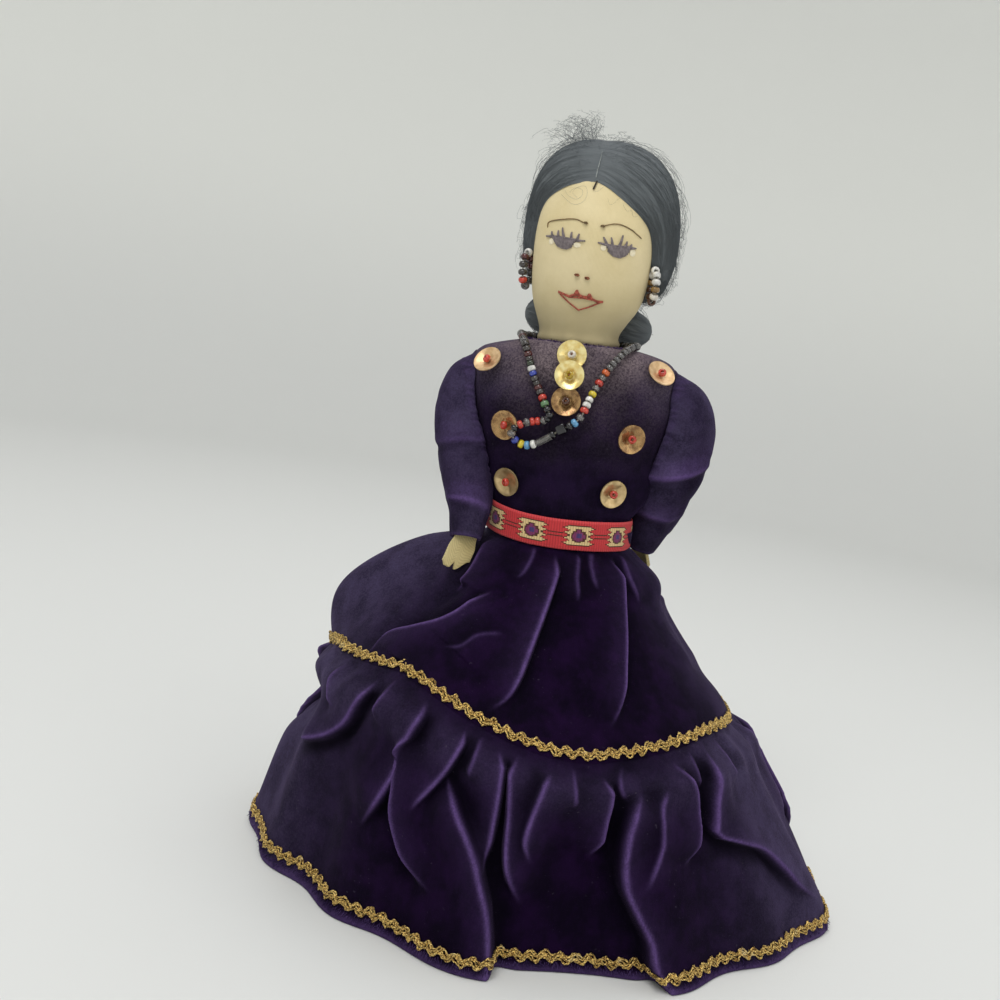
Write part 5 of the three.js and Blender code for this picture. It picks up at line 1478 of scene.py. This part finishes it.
def bunHairs():
    rng = np.random.default_rng(121)
    paths = []
    for _ in range(bun["hairs"]):
        start = rng.uniform(-0.97, 0.4)
        share = np.clip(np.linspace(start, start + rng.uniform(0.3, 0.7), 12), -0.98, 0.98)
        loose = rng.random() < 0.5
        lift = rng.uniform(0.2, 0.5) + (rng.uniform(1.2, 3.6) * np.sin(np.linspace(0, math.pi, 12))
                                        if loose else 0)
        turn = rng.uniform(0, 360) + 10 * np.sin(share * 5)
        wild = np.cumsum(rng.normal(0, 0.2 if loose else 0.02, (12, 3)), axis=0)
        paths.append(onHead(bunPoint(turn, share, lift) + wild))
    return settled(strung("hair_bun_strands", blackHair, paths, 0.06, 0), "head", "black_hair")


bunHairs()
wind = np.linspace(0, bun["wraps"] * 2 * math.pi, 260)
tieAcross = (wind / wind[-1] - 0.5) * 4.4
tieSize = bunSize(tieAcross / bun["half"]) + 0.35 + bun["yarn"]
tie = strung("bun_tie_yarn", yarn,
             [onHead(np.stack([bun["aside"] + tieAcross, bun["back"] + tieSize * np.cos(wind),
                               bun["rise"] + tieSize * np.sin(wind)], -1))], bun["yarn"], 2)
settled(tie, "head", "white_yarn", "bun_tie")


def partingPath(first, last, lift):
    angle = np.radians(np.linspace(first, last, 24))
    y = hair["middle"][1] - (hair["deep"] + lift) * np.cos(angle)
    z = hair["middle"][2] + (hair["high"] + lift) * np.sin(angle)
    return onHead(np.stack([0.2 * np.sin(angle * 9), y, z], -1))


parting = strung("parting_thread", partingThread, [partingPath(33, 56, 0.05)], 0.16, 1,
                 [(0, 1), (0.6, 0.9), (1, 0.2)])
settled(parting, "head", "white_yarn", "parting_stitch")
tack = strung("parting_tack", tackThread,
              [onHead(facePoint(np.linspace(0.2, -0.5, 8), np.linspace(53.2, 50.4, 8), 0.5))], 0.34, 1)
settled(tack, "head", "black_hair")
print("hair combed")


# earrings: loops of strung beads
earring = {"top": {"left": 27.0, "right": 28.8}, "drop": {"left": 10.4, "right": 11.2}, "out": 22.3,
           "forward": -2.0, "width": 4.8, "turn": 65,
           "left": "WWWTPNNNTW", "right": "WmddRsddmm"}


def earringPiece(side):
    sign = signOf[side]
    count = len(earring[side])
    t = np.linspace(0, 2 * math.pi, 240)
    wide, half = earring["width"] / 2, earring["drop"][side] / 2
    a = math.radians(earring["turn"])
    flat = np.stack([wide * np.sin(t) * math.cos(a) * sign, -wide * np.sin(t) * math.sin(a),
                     half * (np.cos(t) - 1)], -1)
    path = onHead(flat + (sign * earring["out"], earring["forward"], earring["top"][side]))
    run = runOf(path)
    groups = {}
    for k, colour in enumerate(earring[side]):
        at = run[-1] * k / count
        here = sampled(at, run, path)
        ahead = sampled((at + 0.3) % run[-1], run, path) - here
        groups.setdefault(colour, []).append(facing(here, ahead, 1.06))
    pieces = [copies("earring_" + side + "_" + beadWord(colour), glass[colour], bead, places)
              for colour, places in groups.items()]
    thread = strung("earring_" + side + "_thread", strandThread, [path], 0.25, 1)
    settled(thread, "earring_" + side, "mixed_glass", "earring_" + side)
    for piece in pieces:
        settled(piece, "earring_" + side, "mixed_glass")


for side in signOf:
    earringPiece(side)


# sequins: pressed cups with six facets, each held by a bead on a thread stalk
sequin = {"radius": 5.0, "cup": 1.1, "thick": 0.4, "seat": 0.35,
          # rim, wall, facets and floor: how far each draws in, and its share of the cup's depth
          "rings": [(0.86, 0.1), (0.8, 0.35), (0.5, 0.6), (0.28, 0.0)], "corners": 36,
          # node: x, rise, extra lift, foil, bead colour, and how far it looks up
          "places": {"collar_upper": (-1.6, 60.6, 0, "pale", "P"),
                     "collar_middle": (-1.6, 53.6, 1.9, "pale", "A"),
                     "collar_lower": (-1.8, 45, 0, "champagne", "N"),
                     "shoulder_right": (-29.4, 56, 0.3, "warm", "R", 0.5),
                     "shoulder_left": (28.6, 57.6, 0.3, "warm", "R", 0.5),
                     "chest_right": (-21.2, 35, 0, "champagne", "R"),
                     "chest_left": (21.2, 35, 0, "champagne", "R"),
                     "waist_right": (-18.6, 15.5, 0, "dull", "R"),
                     "waist_left": (17.2, 15.5, 0, "dull", "R")}}


def seedSequin():
    bpy.ops.object.select_all(action="DESELECT")
    corners = sequin["corners"]
    bpy.ops.mesh.primitive_circle_add(vertices=corners, radius=sequin["radius"] / 1000,
                                      fill_type="NOTHING")
    cup = named("sequin", foil["pale"])
    bpy.ops.object.mode_set(mode="EDIT")
    bpy.ops.mesh.select_all(action="SELECT")
    for inward, drop in sequin["rings"]:
        down = (0, 0, -drop * sequin["cup"] / 1000)
        bpy.ops.mesh.extrude_region_move(TRANSFORM_OT_translate={"value": down})
        bpy.ops.transform.resize(value=(inward, inward, 1))
    bpy.ops.object.mode_set(mode="OBJECT")
    mesh = cup.data
    rings = np.empty(len(mesh.vertices) * 3)
    mesh.vertices.foreach_get("co", rings)
    rings = rings.reshape(-1, 3)
    for k in (2, 3):  # two rings drawn to six straight sides
        ring = rings[k * corners:(k + 1) * corners]
        angle = np.arctan2(ring[:, 1], ring[:, 0])
        local = (angle + math.pi / 6) % (math.pi / 3) - math.pi / 6
        ring[:, :2] *= (0.94 / np.cos(local))[:, None]
    mesh.vertices.foreach_set("co", rings.ravel())
    mesh.update()
    edited(bpy.ops.mesh.normals_make_consistent, inside=False)
    if sum(face.normal.z for face in mesh.polygons) < 0:
        mesh.flip_normals()
    modified(cup, "SOLIDIFY", thickness=sequin["thick"] / 1000, offset=-1.0, use_rim=True)
    smoothed(cup, 22)
    return cup


cup = seedSequin()
rng = np.random.default_rng(130)
for place, (x, rise, lift, look, colour, *upward) in sequin["places"].items():
    turn = float(frontTurn(x, rise))
    here, out = bodiceSeat(turn, rise)
    base = here + out * (sequin["seat"] + sequin["cup"] + sequin["thick"] + lift)
    direction = onBody(here + out + (0, 0, sum(upward))) - onBody(here)
    piece = copies("sequin_" + place + "_foil", foil[look], cup,
                   [facing(onBody(base), direction, 1.0, rng.uniform(0, 6))])
    settled(piece, "dress", "gold_foil", "sequin_" + place)
    lean = direction + rng.normal(0, 0.18, 3)
    seat = onBody(base - out * (sequin["cup"] - 1.2))
    tilt = np.cross(direction, (0.3, 0.2, 1.0))
    slot = {"P": "pearl_glass", "A": "amber_glass", "N": "brown_glass", "R": "red_glass"}[colour]
    piece = copies("bead_" + place + "_glass", glass[colour], bead,
                   [facing(seat, lean * 0.8 + tilt * 0.5, 1.0)])
    settled(piece, "dress", slot, "bead_" + place)
    stalk = strung("bead_" + place + "_thread", noseThread,
                   [np.array([onBody(base - out * 1.4), seat, seat + direction * 0.9])], 0.3, 1)
    settled(stalk, "dress", slot)
print("sequins sewn")


# legs and shoes under the skirt
leg = {"hip": (12.0, 0.0, -21.0), "thigh": 9.4, "ankle": 6.2, "shoe": (27.0, 15.2, 13.0), "sole": 0.6,
       "grid": (64, 60), "shoeGrid": (64, 40)}


def legForm(side):
    sign = signOf[side]
    top = onBody((sign * leg["hip"][0], 0, leg["hip"][2]))
    low = np.array([top[0], 0, leg["shoe"][2] * 0.6])

    def laid(u, v):
        t = np.radians(u * 360)
        share = 1 - v
        size = leg["thigh"] + (leg["ankle"] - leg["thigh"]) * ease(share, 0, 1)
        size = size + 0.8 * bump(share * 100, 42, 16) + 0.25 * wander(140 + sign, u * 360, share * 8, 4)
        size = size * np.sqrt(np.clip(1 - ((share - 0.5) / 0.5) ** 14, 0, 1))
        mid = top + (low - top) * share[:, None]
        return mid + np.stack([np.cos(t) * size, np.sin(t) * size, 0 * t], -1), {}
    return laid, (top + low) / 2


def shoeForm(side):
    sign = signOf[side]
    ankle = onBody((sign * leg["hip"][0], 0, leg["hip"][2]))[0]
    long, wide, high = leg["shoe"]

    def laid(u, v):
        t, share = np.radians(u * 360), v
        # soft slipper: rounded toe, pinched seam round the sole
        angle = (share - 0.5) * math.pi
        ring = np.cos(angle) ** 0.75
        x = wide / 2 * ring * np.sin(t) * (1 - 0.12 * np.cos(t))
        y = -long / 2 * ring * np.cos(t) - 3.5
        lift = high * (0.36 + 0.3 * ease(y, -13, 6))
        z = leg["sole"] + 0.1 + lift * (1 + np.sin(angle)) * np.where(np.sin(angle) < 0, 0.8, 0.86)
        z = np.maximum(z, leg["sole"] + 0.05)
        return np.stack([ankle + x, y, z], -1), {}
    return laid, (ankle, -3.5, high * 0.4)


for side in signOf:
    laid, middle = legForm(side)
    piece = clothGrid("leg_" + side + "_muslin", muslin, leg["grid"], laid, middle)
    settled(piece, "leg_" + side, "cream_muslin", "leg_" + side)
    laid, middle = shoeForm(side)
    piece = clothGrid("shoe_" + side + "_hide", hide, leg["shoeGrid"], laid, middle)
    settled(piece, "leg_" + side, "brown_hide", "shoe_" + side)
print("legs and shoes done")
for seed in (bead, cup):
    bpy.data.objects.remove(seed)


# pale sweep and soft light
studio = {"radius": 1.7, "wall": 1.3, "round": 0.6, "floor": (223, 224, 222),
          "wallColour": (241, 242, 238), "world": 0.46,
          # lamp: place, watts, size
          "lamps": {"key": ((-0.32, -0.72, 1.35), 9.8, 0.8), "fill": ((0.9, -0.6, 0.5), 2.0, 0.9),
                    "top": ((0.1, 0.35, 1.25), 3.6, 1.0)}}
bpy.ops.object.select_all(action="DESELECT")
bpy.ops.mesh.primitive_circle_add(vertices=128, radius=studio["radius"], fill_type="NGON")
sweepFinish = Finish("pale sweep", {"Specular IOR Level": 0.1})
height = sweepFinish.wire.node("SeparateXYZ", {}, {0: sweepFinish.coords()}, "Z")
sweepFinish.put("Base Color", sweepFinish.mix(height.band(0.02, 0.5), rgb(*studio["floor"]),
                                              rgb(*studio["wallColour"])))
sweepFinish.put("Roughness", 0.9)
sweep = named("sweep", sweepFinish.material)
bpy.ops.object.mode_set(mode="EDIT")
bpy.ops.mesh.select_mode(type="EDGE")
bpy.ops.mesh.select_all(action="SELECT")
bpy.ops.mesh.region_to_loop()
bpy.ops.mesh.extrude_edges_move(TRANSFORM_OT_translate={"value": (0, 0, studio["wall"])})
bpy.ops.object.mode_set(mode="OBJECT")
modified(sweep, "BEVEL", width=studio["round"], segments=18, limit_method="ANGLE",
         angle_limit=math.radians(60))
pick(sweep)
bpy.ops.object.shade_smooth()

world = bpy.data.worlds.new("studio")
bpy.context.scene.world = world
world.use_nodes = True
world.node_tree.nodes["Background"].inputs["Color"].default_value = (1, 1, 1, 1)
world.node_tree.nodes["Background"].inputs["Strength"].default_value = studio["world"]
for name, (place, watts, size) in studio["lamps"].items():
    lamp = bpy.data.lights.new(name, "AREA")
    lamp.energy, lamp.size = watts, size
    holder = bpy.data.objects.new(name, lamp)
    holder.location = place
    holder.rotation_euler = (Vector((-0.01, 0, 0.12)) - Vector(place)).to_track_quat("-Z", "Y").to_euler()
    bpy.context.collection.objects.link(holder)
